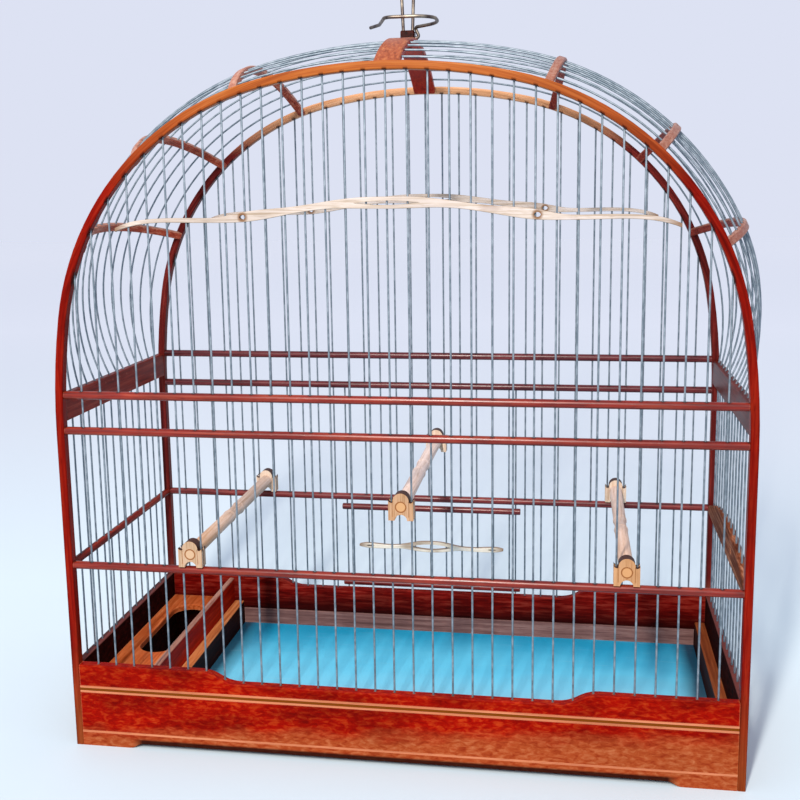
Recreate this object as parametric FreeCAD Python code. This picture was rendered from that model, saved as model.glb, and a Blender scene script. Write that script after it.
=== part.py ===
import FreeCAD, Part
import math
import os

V = FreeCAD.Vector
ACROSS = V(1, 0, 0)
BACKWARD = V(0, 1, 0)
UPWARD = V(0, 0, 1)

# Driving dimensions, in millimetres. X runs left to right, Y front to back, Z up.
# The origin is the middle of the whole cage's footprint, at the level of its feet.
cage_width = 520.0
wall_span = 208.0            # from the front wire plane to the back wire plane
cut_overrun = 2.0            # how far every cutting shape runs past the face that it opens
running_gap = 0.3            # between pieces that slide or turn on each other
edge_tolerance = 0.001       # for telling which edges lie in a face

# Bent arch laths, drawn as tangent arcs. The crown arc closes the curve at mid width.
spring_height = 256.0
side_radius = 550.0
side_turn_deg = 9.3
shoulder_radius = 211.0
shoulder_turn_deg = 68.0
arch_thickness = 6.2
arch_depth = 8.0
arch_round = 1.2

# Straight round rails
rail_radius = 3.1
rail_tenon_radius = 1.75
rail_tenon_length = 2.0
tenon_gap = 0.1
upper_rail_height = 286.0
middle_rail_height = 258.0
lower_rail_height = 150.0

# Steel wires
wire_radius = 0.75
wire_hole_gap = 0.25
front_pitch_aim = 14.9
side_pitch_aim = 14.3
wire_seat_depth = 8.0
wire_tip_gap = 0.3

# Base box
base_height = 68.0
base_dip = 9.0
dip_half_width = 122.5
dip_ramp = 31.5
foot_length = 45.0
foot_ramp = 12.0
foot_relief = 4.0
board_round = 1.0

# Pale stripes let into the front board
inlay_width = 1.6
inlay_depth = 1.0
low_inlay_height = 12.0
high_inlay_height = 46.0
high_inlay_step = 3.8

# Feeder shelf at the left of the base
divider_face_x = -192.5      # the tray's side of the divider
divider_thickness = 5.0
divider_drop = 3.0           # below the top of the base
divider_round = 1.5
feeder_top = 45.0
feeder_thickness = 5.0
feeder_slot_width = 32.0
feeder_slot_length = 106.0
feeder_slot_setback = 24.0   # behind the middle of the shelf

# Sliding tray and the guides beside it
guide_width = 9.0
guide_top = 42.0
guide_ledge_width = 6.0
guide_ledge_thickness = 8.0
tray_floor_height = 20.0
tray_sheet_thickness = 3.0
tray_strip_top = 35.0
tray_side_gap = 0.5
tray_finger_radius = 12.0

# Side walls
mid_board_height = 21.0
lens_rise = 17.0             # of the right board's crest above its ends
peg_hole_radius = 2.75
peg_hole_rise = 8.0          # above the line of the lower rails
peg_hole_row = 4             # the peg hole is behind this wire, counted from the front

# Bowed roof laths and crown board
roof_rise = 27.5
lath_thickness = 5.4
lath_width = 6.4
lath_bevel = 0.8
crown_board_width = 18.5
lath_angles = {"high": 71.0, "middle": 46.5, "low": 24.8}   # up from level, in degrees
roof_wire_tail = 5.0

# Fretted slats threaded on the wires
slat_half_length = 204.0
slat_height = 418.0
slat_bow = 11.0
slat_depth = 4.0
slat_round = 0.5
slat_mid_height = 8.6
slat_eye_half_length = 24.0
slat_eye_height = 3.2
slat_hole_half_length = 2.4
slat_hole_height = 3.4
slat_hole_x = 106.0

# Lifting door in the back wall
door_side_wires = 5          # door wires on each side of the middle one
door_bar_radius = 3.0
door_bar_half_length = 85.0
door_guide_x = 80.5
door_saddle_gap = 1.0        # between the back saddles and the door that lifts past them
door_head_gap = 6.4          # between the upper bar and the lower rail
door_wire_seat = 4.0
guide_bend_radius = 2.5
guide_foot_drop = 3.0        # below the dipped edge of the board
guide_foot_seat = 3.0
door_bar_round = 0.8
door_slat_half_length = 69.0
door_slat_bow = 1.0
door_slat_mid_height = 10.4
door_slat_eye_half_length = 19.5
door_slat_eye_height = 5.4
door_slat_hole_half_length = 4.0
door_slat_hole_height = 1.5
door_slat_hole_x = 58.5

# Perches, clipped between two neighbouring wires at each end
perch_columns = {"left": -10.5, "centre": 0.5, "right": 11.5}   # in wire pitches from the middle
centre_perch_height = 207.0
perch_radius = 5.5
perch_waist_radius = 4.7
perch_bead_radius = 5.6
perch_bead_place = 12.5
perch_bead_half_width = 1.7
perch_tenon_radius = 4.3
perch_tenon_gap = 0.05
saddle_depth = 9.0
saddle_half_height = 10.4
saddle_wing_margin = 1.9
saddle_core_margin = 1.4
saddle_wing_top = 3.2
saddle_ear_rise = 1.6        # of a wing's outer tip
saddle_notch_half_width = 4.7
saddle_notch_top = -5.8
saddle_groove_width = 0.9
saddle_groove_depth = 0.8
saddle_groove_foot = -8.0

# Hanger on the crown board
hanger_block_width = 11.0
hanger_block_depth = 10.0
hanger_block_height = 7.3
hanger_block_bevel = 0.8
hanger_wire_radius = 1.3
hanger_leg_half_gap = 3.7
hanger_leg_spread = 1.0      # wider at the neck of the eye than at the block
hanger_leg_length = 26.0
hanger_eye_radius = 12.0
hanger_eye_round_share = 0.97
hanger_seat_gap = 0.1
hanger_pin_radius = 1.2
hanger_pin_gap = 0.1
hanger_pin_head_radius = 3.0
hanger_pin_head_height = 1.4
hanger_pin_reach = 4.2
tail_ring_height = 10.0
tail_kink_reach = 9.5
tail_bend_radius = 2.0
tail_seat = 3.0
tail_lead_x = 27.0           # where the wire from the block turns to the front
tail_lead_depth = 19.0
tail_right_x = 27.5
tail_left_x = -9.0
tail_reach = 55.5            # of the ring, to the front
tail_return_x = -19.7
tail_return_depth = 18.5
tail_tip_x = -29.0
tail_tip_depth = 5.5
tail_radii = (30.0, 15.0, 8.0, 6.0)

# Worked-out places
half_width = cage_width / 2
inner_half_width = half_width - arch_thickness
leg_x = half_width - arch_thickness / 2
door_offset = saddle_depth / 2 + door_saddle_gap + door_bar_radius   # from the back wire plane
rear_overhang = door_offset + door_bar_radius
front_overhang = saddle_depth / 2
front_y = (front_overhang - rear_overhang - wall_span) / 2
back_y = front_y + wall_span
mid_y = (front_y + back_y) / 2
inside_front_y = front_y + arch_depth / 2
inside_back_y = back_y - arch_depth / 2
inside_span = inside_back_y - inside_front_y
dipped_top = base_height - base_dip
divider_top = base_height - divider_drop
wire_hole_radius = wire_radius + wire_hole_gap
wire_foot_height = dipped_top - wire_seat_depth

front_gaps_per_side = round(inner_half_width / front_pitch_aim)
front_pitch = inner_half_width / front_gaps_per_side
front_columns = range(1 - front_gaps_per_side, front_gaps_per_side)
side_gaps = round(inside_span / side_pitch_aim)
side_pitch = inside_span / side_gaps
side_rows = [inside_front_y + side_pitch * row for row in range(1, side_gaps)]
hanger_y = inside_front_y + side_pitch * (side_gaps // 2 + 1 / 2)   # between two wires, behind mid depth

mid_board_top = upper_rail_height
mid_board_bottom = mid_board_top - mid_board_height

guide_inner_left = divider_face_x + guide_width
guide_inner_right = inner_half_width - guide_width
tray_left = guide_inner_left + tray_side_gap
tray_right = guide_inner_right - tray_side_gap
tray_sheet_bottom = tray_floor_height - tray_sheet_thickness

door_y = back_y + door_offset
guide_foot_z = dipped_top - guide_foot_drop
door_low_z = guide_foot_z + guide_bend_radius + running_gap + door_bar_radius   # resting on the guides' bends
door_high_z = lower_rail_height - rail_radius - door_head_gap - door_bar_radius

side_perch_height = lower_rail_height + rail_radius + running_gap + saddle_half_height


# Small helpers
def rod(radius, start, end):
    run = end - start
    return Part.makeCylinder(radius, run.Length, start, run)


def block(low, high):
    size = high - low
    return Part.makeBox(size.x, size.y, size.z, low)


def extruded(edges, run):
    return Part.Face(Part.Wire(edges)).extrude(run)


def polygon(points):
    return Part.makePolygon(points + points[:1]).Edges


def arc(start, middle, end):
    return Part.Arc(start, middle, end).toShape()


def line(start, end):
    return Part.makeLine(start, end)


def mirrored_x(shape):
    return shape.mirror(V(0, 0, 0), ACROSS)


def joined(shapes):
    return shapes[0].multiFuse(shapes[1:]).removeSplitter() if len(shapes) > 1 else shapes[0]


# Edges that run along the faces square to an axis, no lower than one height and longer than one length
def face_edges(shape, axis, lowest, shortest=0):
    chosen = []
    for edge in shape.Edges:
        ends = [edge.valueAt(edge.FirstParameter), edge.valueAt(edge.LastParameter)]
        level = abs((ends[1] - ends[0]).dot(axis)) < edge_tolerance
        high = min(end.z for end in ends) > lowest - edge_tolerance
        if level and high and edge.Length > shortest:
            chosen.append(edge)
    return chosen


def save(name, shapes):
    shape = shapes if isinstance(shapes, Part.Shape) else Part.makeCompound(shapes)
    shape.exportStep("parts/" + name + ".step")
    print(name, len(shape.Solids), "solids", round(shape.Volume), "mm3", shape.isValid())


# A wire bent along straight runs, with an arc of the given radius at each inner point
def bent_path(points, radii):
    edges = []
    here = points[0]
    for corner, after, radius in zip(points[1:-1], points[2:], radii):
        back = (here - corner).normalize()
        onward = (after - corner).normalize()
        half_angle = back.getAngle(onward) / 2
        reach = radius / math.tan(half_angle)
        entry = corner + back * reach
        leaving = corner + onward * reach
        inward = (back + onward).normalize()
        middle = corner + inward * (radius / math.sin(half_angle) - radius)
        if (entry - here).Length > wire_tip_gap:
            edges.append(line(here, entry))
        else:
            entry = here
        edges.append(arc(entry, middle, leaving))
        here = leaving
    edges.append(line(here, points[-1]))
    return Part.Wire(edges)


def swept(path, radius):
    first = path.OrderedEdges[0]
    start = first.valueAt(first.FirstParameter)
    heading = first.tangentAt(first.FirstParameter)
    ring = Part.Wire(Part.makeCircle(radius, start, heading))
    return path.makePipeShell([ring], True, False)


# Arch curve: centres and radii of the right-hand arcs, and points at a turn from the horizontal
def heading(turn_deg):
    turn = math.radians(turn_deg)
    return V(math.cos(turn), 0, math.sin(turn))


side_centre = V(half_width - side_radius, 0, spring_height)
shoulder_start_deg = side_turn_deg
shoulder_centre = side_centre + heading(shoulder_start_deg) * (side_radius - shoulder_radius)
crown_start_deg = side_turn_deg + shoulder_turn_deg
shoulder_end = shoulder_centre + heading(crown_start_deg) * shoulder_radius
crown_radius = shoulder_end.x / math.cos(math.radians(crown_start_deg))
crown_centre = shoulder_end - heading(crown_start_deg) * crown_radius
arch_top = crown_centre.z + crown_radius


def arch_point(turn_deg, inset):
    if turn_deg <= shoulder_start_deg:
        return side_centre + heading(turn_deg) * (side_radius - inset)
    if turn_deg <= crown_start_deg:
        return shoulder_centre + heading(turn_deg) * (shoulder_radius - inset)
    return crown_centre + heading(turn_deg) * (crown_radius - inset)


def mirror_point(point):
    return V(-point.x, point.y, point.z)


def arch_arc(from_deg, to_deg, inset):
    stops = (from_deg, (from_deg + to_deg) / 2, to_deg)
    return [arch_point(stop, inset) for stop in stops]


# The arch line at an inset from its outer edge, from the right foot over to the left foot
def arch_line(inset):
    right = half_width - inset
    side = arch_arc(0, shoulder_start_deg, inset)
    shoulder = arch_arc(shoulder_start_deg, crown_start_deg, inset)
    crown = V(0, 0, arch_top - inset)
    edges = [line(V(right, 0, 0), side[0]), arc(*side), arc(*shoulder)]
    edges.append(arc(shoulder[2], crown, mirror_point(shoulder[2])))
    edges.append(arc(*[mirror_point(p) for p in reversed(shoulder)]))
    edges.append(arc(*[mirror_point(p) for p in reversed(side)]))
    edges.append(line(mirror_point(side[0]), V(-right, 0, 0)))
    return edges


# Height of the arch line above a place across the width
def arch_height(x, inset):
    reach = abs(x)
    if reach <= shoulder_end.x:
        return crown_centre.z + math.sqrt((crown_radius - inset) ** 2 - reach ** 2)
    return shoulder_centre.z + math.sqrt((shoulder_radius - inset) ** 2 - (reach - shoulder_centre.x) ** 2)


# Inner face of the arch's side at a height, which leans in above the spring
def leg_inner_x(height):
    above = max(height - spring_height, 0)
    return side_centre.x + math.sqrt((side_radius - arch_thickness) ** 2 - above ** 2)


def column_x(column):
    return column * front_pitch


def wire_tip_height(x):
    return arch_height(x, arch_thickness / 2)


# Upright bores for the wires of the front or back wall, between two heights
def wall_bores(plane_y, low, high, columns):
    places = [column_x(column) for column in columns]
    return Part.makeCompound([rod(wire_hole_radius, V(x, plane_y, low), V(x, plane_y, high)) for x in places])


def side_bores(x, low, high):
    return Part.makeCompound([rod(wire_hole_radius, V(x, y, low), V(x, y, high)) for y in side_rows])


# Arches
def arch(plane_y, inward):
    rim = arch_line(0)
    inner = arch_line(arch_thickness)
    foot = line(rim[-1].Vertexes[-1].Point, inner[-1].Vertexes[-1].Point)
    other_foot = line(mirror_point(foot.Vertexes[1].Point), mirror_point(foot.Vertexes[0].Point))
    solid = extruded(Part.__sortEdges__(rim + inner + [foot, other_foot]), BACKWARD * arch_depth)
    solid = solid.makeFillet(arch_round, face_edges(solid, BACKWARD, 0, arch_thickness + cut_overrun))
    solid.translate(V(0, plane_y - arch_depth / 2, 0))
    bores = []
    for column in front_columns:
        x = column_x(column)
        tip = V(x, plane_y, wire_tip_height(x) + wire_tip_gap)
        mouth = V(x, plane_y, arch_height(x, arch_thickness) - wire_seat_depth)
        bores.append(rod(wire_hole_radius, mouth, tip))
    socket = rail_tenon_radius + tenon_gap
    for height in (upper_rail_height, middle_rail_height, lower_rail_height):
        reach = V(leg_inner_x(height + rail_radius) + rail_tenon_length + tenon_gap, plane_y, height)
        bores.append(rod(socket, mirror_point(reach), reach))
    rail_end = V(-leg_x, plane_y + inward * arch_depth / 2, lower_rail_height)
    bores.append(rod(socket, rail_end + BACKWARD * (inward * cut_overrun),
                     rail_end - BACKWARD * (inward * (rail_tenon_length + tenon_gap))))
    return solid.cut(Part.makeCompound(bores))


# Round rail along a line, with a thinner tenon at each end
def rail(start, end):
    along = (end - start).normalize()
    tenon = along * rail_tenon_length
    return joined([rod(rail_radius, start, end), rod(rail_tenon_radius, start - tenon, end + tenon)])


def wall_rail(plane_y, height, blind_columns=()):
    end = V(leg_inner_x(height + rail_radius), plane_y, height)
    bar = rail(mirror_point(end), end)
    through = [column for column in front_columns if column not in blind_columns]
    reach = rail_radius + cut_overrun
    bar = bar.cut(wall_bores(plane_y, height - reach, height + reach, through))
    if blind_columns:
        bar = bar.cut(wall_bores(plane_y, height - wire_tip_gap, height + reach, blind_columns))
    return bar


door_columns = range(-door_side_wires, door_side_wires + 1)


# A step between two levels made of two equal arcs, level at both ends
def ogee(start, end):
    middle = (start + end) / 2
    run = abs(end.x - start.x)
    drop = end.z - start.z
    radius = (run ** 2 + drop ** 2) / (4 * abs(drop))
    lean = math.asin(run / 2 / radius) / 2
    side = V(math.copysign(radius * math.sin(lean), end.x - start.x), 0, 0)
    fall = V(0, 0, math.copysign(radius * (1 - math.cos(lean)), drop))
    return [arc(start, start + side + fall, middle), arc(middle, end - side - fall, end)]


# Long base board: feet at both ends, a dip along the top edge
def long_board(plane_y):
    foot_x = inner_half_width + arch_thickness - foot_length
    foot_in = V(foot_x - foot_ramp, 0, foot_relief)
    foot_out = V(foot_x, 0, 0)
    corner = V(inner_half_width, 0, 0)
    top_corner = V(inner_half_width, 0, base_height)
    dip_out = V(dip_half_width + dip_ramp, 0, base_height)
    dip_in = V(dip_half_width, 0, dipped_top)
    right = ogee(foot_in, foot_out)
    right += [line(foot_out, corner), line(corner, top_corner), line(top_corner, dip_out)]
    right += ogee(dip_out, dip_in)
    left = [mirrored_x(edge) for edge in right]
    closing = [line(dip_in, mirror_point(dip_in)), line(foot_in, mirror_point(foot_in))]
    board = extruded(Part.__sortEdges__(right + left + closing), BACKWARD * arch_depth)
    board = board.makeFillet(board_round, face_edges(board, BACKWARD, dipped_top))
    board.translate(V(0, plane_y - arch_depth / 2, 0))
    seat = wire_foot_height - wire_tip_gap
    return board.cut(wall_bores(plane_y, seat, base_height + cut_overrun, front_columns))


inlay_heights = (low_inlay_height, high_inlay_height, high_inlay_height + high_inlay_step)


def inlays():
    face_y = front_y - arch_depth / 2
    strips = []
    for height in inlay_heights:
        low = V(-inner_half_width, face_y, height - inlay_width / 2)
        high = V(inner_half_width, face_y + inlay_depth, height + inlay_width / 2)
        strips.append(block(low, high))
    return strips


def front_board():
    return long_board(front_y).cut(Part.makeCompound(inlays()))


def back_board():
    low = V(guide_inner_left, inside_back_y - cut_overrun, -cut_overrun)
    high = V(guide_inner_right, back_y + arch_depth, tray_strip_top + tray_side_gap)
    return long_board(back_y).cut(block(low, high))


def side_board(x_low):
    foot = inside_front_y + foot_length - arch_depth
    far_foot = inside_back_y - foot_length + arch_depth
    outline = [V(x_low, inside_front_y, 0), V(x_low, foot, 0), V(x_low, foot + foot_ramp, foot_relief)]
    outline += [V(x_low, far_foot - foot_ramp, foot_relief), V(x_low, far_foot, 0)]
    outline += [V(x_low, inside_back_y, 0), V(x_low, inside_back_y, base_height)]
    outline.append(V(x_low, inside_front_y, base_height))
    board = extruded(polygon(outline), ACROSS * arch_thickness)
    board = board.makeFillet(board_round, face_edges(board, ACROSS, base_height))
    seat = base_height - wire_seat_depth - wire_tip_gap
    return board.cut(side_bores(x_low + arch_thickness / 2, seat, base_height + cut_overrun))


# Feeder shelf with its long round-ended slot, and the divider beside the tray
def feeder_board():
    low = V(-inner_half_width, inside_front_y, feeder_top - feeder_thickness)
    high = V(divider_face_x - divider_thickness, inside_back_y, feeder_top)
    shelf = block(low, high)
    centre_x = (low.x + high.x) / 2
    centre_y = mid_y + feeder_slot_setback
    round_end = feeder_slot_width / 2
    straight = feeder_slot_length / 2 - round_end
    bottom = low.z - cut_overrun
    through = UPWARD * (feeder_thickness + 2 * cut_overrun)
    ends = [V(centre_x, centre_y + side * straight, bottom) for side in (-1, 1)]
    slot = [Part.makeCylinder(round_end, through.Length, end, UPWARD) for end in ends]
    slot.append(block(ends[0] - ACROSS * round_end, ends[1] + ACROSS * round_end + through))
    shelf = shelf.cut(joined(slot))
    rim = []
    for edge in face_edges(shelf, UPWARD, feeder_top):
        offset = edge.CenterOfMass - V(centre_x, centre_y, feeder_top)
        if abs(offset.x) < round_end + cut_overrun and abs(offset.y) < feeder_slot_length / 2:
            rim.append(edge)
    return shelf.makeFillet(board_round, rim)


def feeder_divider():
    low = V(divider_face_x - divider_thickness, inside_front_y, foot_relief)
    divider = block(low, V(divider_face_x, inside_back_y, divider_top))
    return divider.makeFillet(divider_round, face_edges(divider, ACROSS, divider_top))


# Tray guide: an upright lath with a ledge that carries the edge of the tray
def tray_guide(wall_x, inward):
    face = wall_x + inward * guide_width
    lip = face + inward * guide_ledge_width
    ledge_top = tray_sheet_bottom - running_gap
    ledge_low = ledge_top - guide_ledge_thickness
    outline = [(wall_x, foot_relief), (face, foot_relief), (face, ledge_low), (lip, ledge_low)]
    outline += [(lip, ledge_top), (face, ledge_top), (face, guide_top), (wall_x, guide_top)]
    points = [V(x, inside_front_y, z) for x, z in outline]
    guide = extruded(polygon(points), BACKWARD * inside_span)
    return guide.makeFillet(board_round, face_edges(guide, ACROSS, guide_top))


def tray_sheet():
    low = V(tray_left, inside_front_y + tray_side_gap, tray_sheet_bottom)
    return block(low, V(tray_right, inside_back_y, tray_floor_height))


def tray_strip():
    low = V(tray_left, inside_back_y, foot_relief)
    strip = block(low, V(tray_right, back_y + arch_depth / 2, tray_strip_top))
    strip = strip.makeFillet(board_round, face_edges(strip, BACKWARD, tray_strip_top))
    grip = V((tray_left + tray_right) / 2, inside_back_y - cut_overrun, foot_relief)
    return strip.cut(rod(tray_finger_radius, grip, grip + BACKWARD * (arch_depth + 2 * cut_overrun)))


# Side walls
def mid_board(sign):
    x_low = sign * leg_x - arch_thickness / 2
    low = V(x_low, inside_front_y, mid_board_bottom)
    board = block(low, V(x_low + arch_thickness, inside_back_y, mid_board_top))
    board = board.makeFillet(board_round, face_edges(board, ACROSS, mid_board_top))
    seat = mid_board_bottom + wire_seat_depth
    board = board.cut(side_bores(sign * leg_x, mid_board_bottom - cut_overrun, seat + wire_tip_gap))
    return board.cut(Part.makeCompound([roof_wire(y, wire_hole_radius, wire_tip_gap) for y in side_rows]))


def left_lower_rail():
    start = V(-leg_x, inside_front_y, lower_rail_height)
    bar = rail(start, V(-leg_x, inside_back_y, lower_rail_height))
    reach = rail_radius + cut_overrun
    return bar.cut(side_bores(-leg_x, lower_rail_height - reach, lower_rail_height + reach))


# Arched board of the right wall, with a peg hole between two wires
def right_lower_board():
    x_low = inner_half_width
    under = lower_rail_height - rail_radius
    end_top = lower_rail_height + rail_radius
    feet = [V(x_low, y, under) for y in (inside_front_y, inside_back_y)]
    ends = [V(x_low, y, end_top) for y in (inside_front_y, inside_back_y)]
    crest = V(x_low, mid_y, end_top + lens_rise)
    edges = [arc(ends[0], crest, ends[1]), line(ends[1], feet[1]), line(feet[1], feet[0]), line(feet[0], ends[0])]
    board = extruded(edges, ACROSS * arch_thickness)
    board = board.makeFillet(board_round, face_edges(board, ACROSS, end_top))
    board = board.cut(side_bores(leg_x, under - cut_overrun, crest.z + cut_overrun))
    peg_y = inside_front_y + side_pitch * (peg_hole_row + 1 / 2)
    start = V(x_low - cut_overrun, peg_y, lower_rail_height + peg_hole_rise)
    return board.cut(rod(peg_hole_radius, start, start + ACROSS * (arch_thickness + 2 * cut_overrun)))


def side_wall_wires(sign):
    x = sign * leg_x
    low = base_height - wire_seat_depth
    high = mid_board_bottom + wire_seat_depth
    return [rod(wire_radius, V(x, y, low), V(x, y, high)) for y in side_rows]


# Roof: every lath is bowed to one circle, and the wires follow it
bow_half_span = inside_span / 2
bow_radius = (bow_half_span ** 2 + roof_rise ** 2) / (2 * roof_rise)


def roof_lift(y):
    return math.sqrt(bow_radius ** 2 - (y - mid_y) ** 2) - bow_radius + roof_rise


# A bowed lath standing over the origin of the arch line, before it is turned into place
def bowed_lath(width):
    def bow_edge(offset):
        radius = bow_radius + offset
        drop = math.sqrt(radius ** 2 - bow_half_span ** 2)
        base = V(-width / 2, mid_y, roof_rise - bow_radius)
        ends = [base + V(0, side * bow_half_span, drop) for side in (-1, 1)]
        return ends[0], base + UPWARD * radius, ends[1]
    outer = bow_edge(lath_thickness / 2)
    inner = bow_edge(-lath_thickness / 2)
    edges = [arc(*outer), line(outer[2], inner[2]), arc(*inner), line(inner[0], outer[0])]
    lath = extruded(Part.__sortEdges__(edges), ACROSS * width)
    long_edges = face_edges(lath, ACROSS, lath.BoundBox.ZMin, lath_thickness + cut_overrun)
    return lath.makeChamfer(lath_bevel, long_edges)


# The wire over the roof at a place along the depth: tail, flank, shoulder, crown and back down
def roof_wire(y, radius, extra_tail=0):
    lift = roof_lift(y)
    inset = arch_thickness / 2 - lift
    low_deg = lath_angles["low"]
    flank_end = arch_point(low_deg, inset)
    foot = V(leg_x, 0, mid_board_top)
    chord = flank_end - foot
    chord_lean = math.atan2(foot.x - flank_end.x, chord.z)
    foot_lean = 2 * chord_lean - math.radians(low_deg)
    half_turn = (math.radians(low_deg) - foot_lean) / 2
    bulge = chord.Length / 2 * math.tan(half_turn / 2)
    flank_mid = foot + chord / 2 + V(math.cos(chord_lean), 0, math.sin(chord_lean)) * bulge
    tail = foot - V(-math.sin(foot_lean), 0, math.cos(foot_lean)) * (roof_wire_tail + extra_tail)
    shoulder = arch_arc(low_deg, crown_start_deg, inset)
    half = [line(tail, foot), arc(foot, flank_mid, flank_end), arc(*shoulder)]
    crown = arc(shoulder[2], V(0, 0, arch_top - inset), mirror_point(shoulder[2]))
    other = [line(mirror_point(foot), mirror_point(tail))]
    other.append(arc(*[mirror_point(p) for p in (flank_end, flank_mid, foot)]))
    other.append(arc(*[mirror_point(p) for p in reversed(shoulder)]))
    path = Part.Wire(half + [crown] + list(reversed(other)))
    path.translate(V(0, y, 0))
    return swept(path, radius)


def placed_lath(angle_deg, width):
    lath = bowed_lath(width)
    lath.rotate(V(0, 0, 0), BACKWARD, 90 - angle_deg)
    lath.translate(arch_point(angle_deg, arch_thickness / 2))
    return lath


# Edge points of the fretted slats, as shares of the half length, the bow and the height in the middle
slat_place_shares = (0, 0.1, 0.2, 0.35, 0.52, 0.6, 0.72, 0.86, 0.95, 1.0)
slat_bow_shares = (1.0, 1.0, 0.91, 0.55, 0.16, 0.0, -0.02, -0.04, -0.28, -0.6)
slat_height_shares = (1.0, 0.92, 0.66, 0.6, 0.83, 0.5, 0.4, 0.36, 0.38, 0.34)
door_slat_place_shares = (0, 0.17, 0.27, 0.38, 0.55, 0.8, 0.92, 1.0)
door_slat_bow_shares = (0.5, 0.5, 0.3, 0, -0.6, -0.3, 0, 0)
door_slat_height_shares = (1.0, 0.88, 0.66, 0.42, 0.34, 0.45, 0.4, 0.15)


def slat_body(half_length, bow, mid_height, place_shares, bow_shares, height_shares):
    top = []
    bottom = []
    for place, rise, share in zip(place_shares, bow_shares, height_shares):
        centre = V(half_length * place, 0, rise * bow)
        half = UPWARD * (mid_height * share / 2)
        top.append(centre + half)
        bottom.append(centre - half)
    edges = []
    for points in (top, bottom):
        curve = Part.BSplineCurve()
        curve.interpolate([mirror_point(p) for p in reversed(points[1:])] + points)
        edges.append(curve.toShape())
    edges += [line(top[-1], bottom[-1]), line(mirror_point(top[-1]), mirror_point(bottom[-1]))]
    body = extruded(Part.__sortEdges__(edges), BACKWARD * slat_depth)
    return body.makeFillet(slat_round, [edge for edge in body.Edges if edge.Length > half_length])


# A pointed oval cut through a slat
def slat_eye(x, z, half_length, height):
    tips = [V(x - half_length, 0, z), V(x + half_length, 0, z)]
    crests = [V(x, 0, z + side * height / 2) for side in (-1, 1)]
    return extruded([arc(tips[0], crests[0], tips[1]), arc(tips[1], crests[1], tips[0])], BACKWARD * slat_depth)


# Sets a slat in its wall and drills it for the wires that it is threaded on
def threaded_slat(body, eyes, plane_y, height, columns):
    body = body.cut(Part.makeCompound(eyes))
    body.translate(V(0, plane_y - slat_depth / 2, height))
    box = body.BoundBox
    return body.cut(wall_bores(plane_y, box.ZMin - cut_overrun, box.ZMax + cut_overrun, columns))


def wall_slat(plane_y):
    body = slat_body(slat_half_length, slat_bow, slat_mid_height,
                     slat_place_shares, slat_bow_shares, slat_height_shares)
    eyes = [slat_eye(0, slat_bow, slat_eye_half_length, slat_eye_height)]
    for side in (-1, 1):
        eyes.append(slat_eye(side * slat_hole_x, slat_bow * slat_bow_shares[4],
                             slat_hole_half_length, slat_hole_height))
    columns = [column for column in front_columns if abs(column_x(column)) < slat_half_length]
    return threaded_slat(body, eyes, plane_y, slat_height, columns)


def door_slat():
    body = slat_body(door_slat_half_length, door_slat_bow, door_slat_mid_height,
                     door_slat_place_shares, door_slat_bow_shares, door_slat_height_shares)
    middle = door_slat_bow * door_slat_bow_shares[0]
    eyes = [slat_eye(0, middle, door_slat_eye_half_length, door_slat_eye_height)]
    for side in (-1, 1):
        eyes.append(slat_eye(side * door_slat_hole_x, 0, door_slat_hole_half_length, door_slat_hole_height))
    columns = [column for column in door_columns if abs(column_x(column)) < door_slat_half_length]
    return threaded_slat(body, eyes, door_y, (door_low_z + door_high_z) / 2, columns)


# Wires of the front and back walls
def front_wires():
    wires = []
    for column in front_columns:
        x = column_x(column)
        wires.append(rod(wire_radius, V(x, front_y, wire_foot_height), V(x, front_y, wire_tip_height(x))))
    return wires


def back_wires():
    wires = []
    for column in front_columns:
        x = column_x(column)
        low = lower_rail_height if column in door_columns else wire_foot_height
        wires.append(rod(wire_radius, V(x, back_y, low), V(x, back_y, wire_tip_height(x))))
    return wires


# Lifting door: two bars, the wires between them, and the fixed guides that the bars slide on
def door_bar(height):
    end = V(door_bar_half_length, door_y, height)
    bar = rod(door_bar_radius, mirror_point(end), end)
    bar = bar.makeFillet(door_bar_round, [edge for edge in bar.Edges if edge.isClosed()])
    reach = door_bar_radius + cut_overrun
    slides = []
    for side in (-1, 1):
        foot = V(side * door_guide_x, door_y, height - reach)
        slides.append(rod(wire_radius + running_gap, foot, foot + UPWARD * (2 * reach)))
    low = door_low_z + door_bar_radius - door_wire_seat - wire_tip_gap
    high = door_high_z - door_bar_radius + door_wire_seat + wire_tip_gap
    return bar.cut(Part.makeCompound(slides)).cut(wall_bores(door_y, low, high, door_columns))


def door_wires():
    low = door_low_z + door_bar_radius - door_wire_seat
    high = door_high_z - door_bar_radius + door_wire_seat
    places = [column_x(column) for column in door_columns]
    return [rod(wire_radius, V(x, door_y, low), V(x, door_y, high)) for x in places]


def door_guide(side, radius):
    x = side * door_guide_x
    board_y = back_y + arch_depth / 2 - guide_foot_seat
    rail_y = back_y + rail_radius - guide_foot_seat
    points = [V(x, board_y, guide_foot_z), V(x, door_y, guide_foot_z)]
    points += [V(x, door_y, middle_rail_height), V(x, rail_y, middle_rail_height)]
    return swept(bent_path(points, [guide_bend_radius] * 2), radius)


guide_bores = Part.makeCompound([door_guide(side, wire_hole_radius) for side in (-1, 1)])


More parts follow.
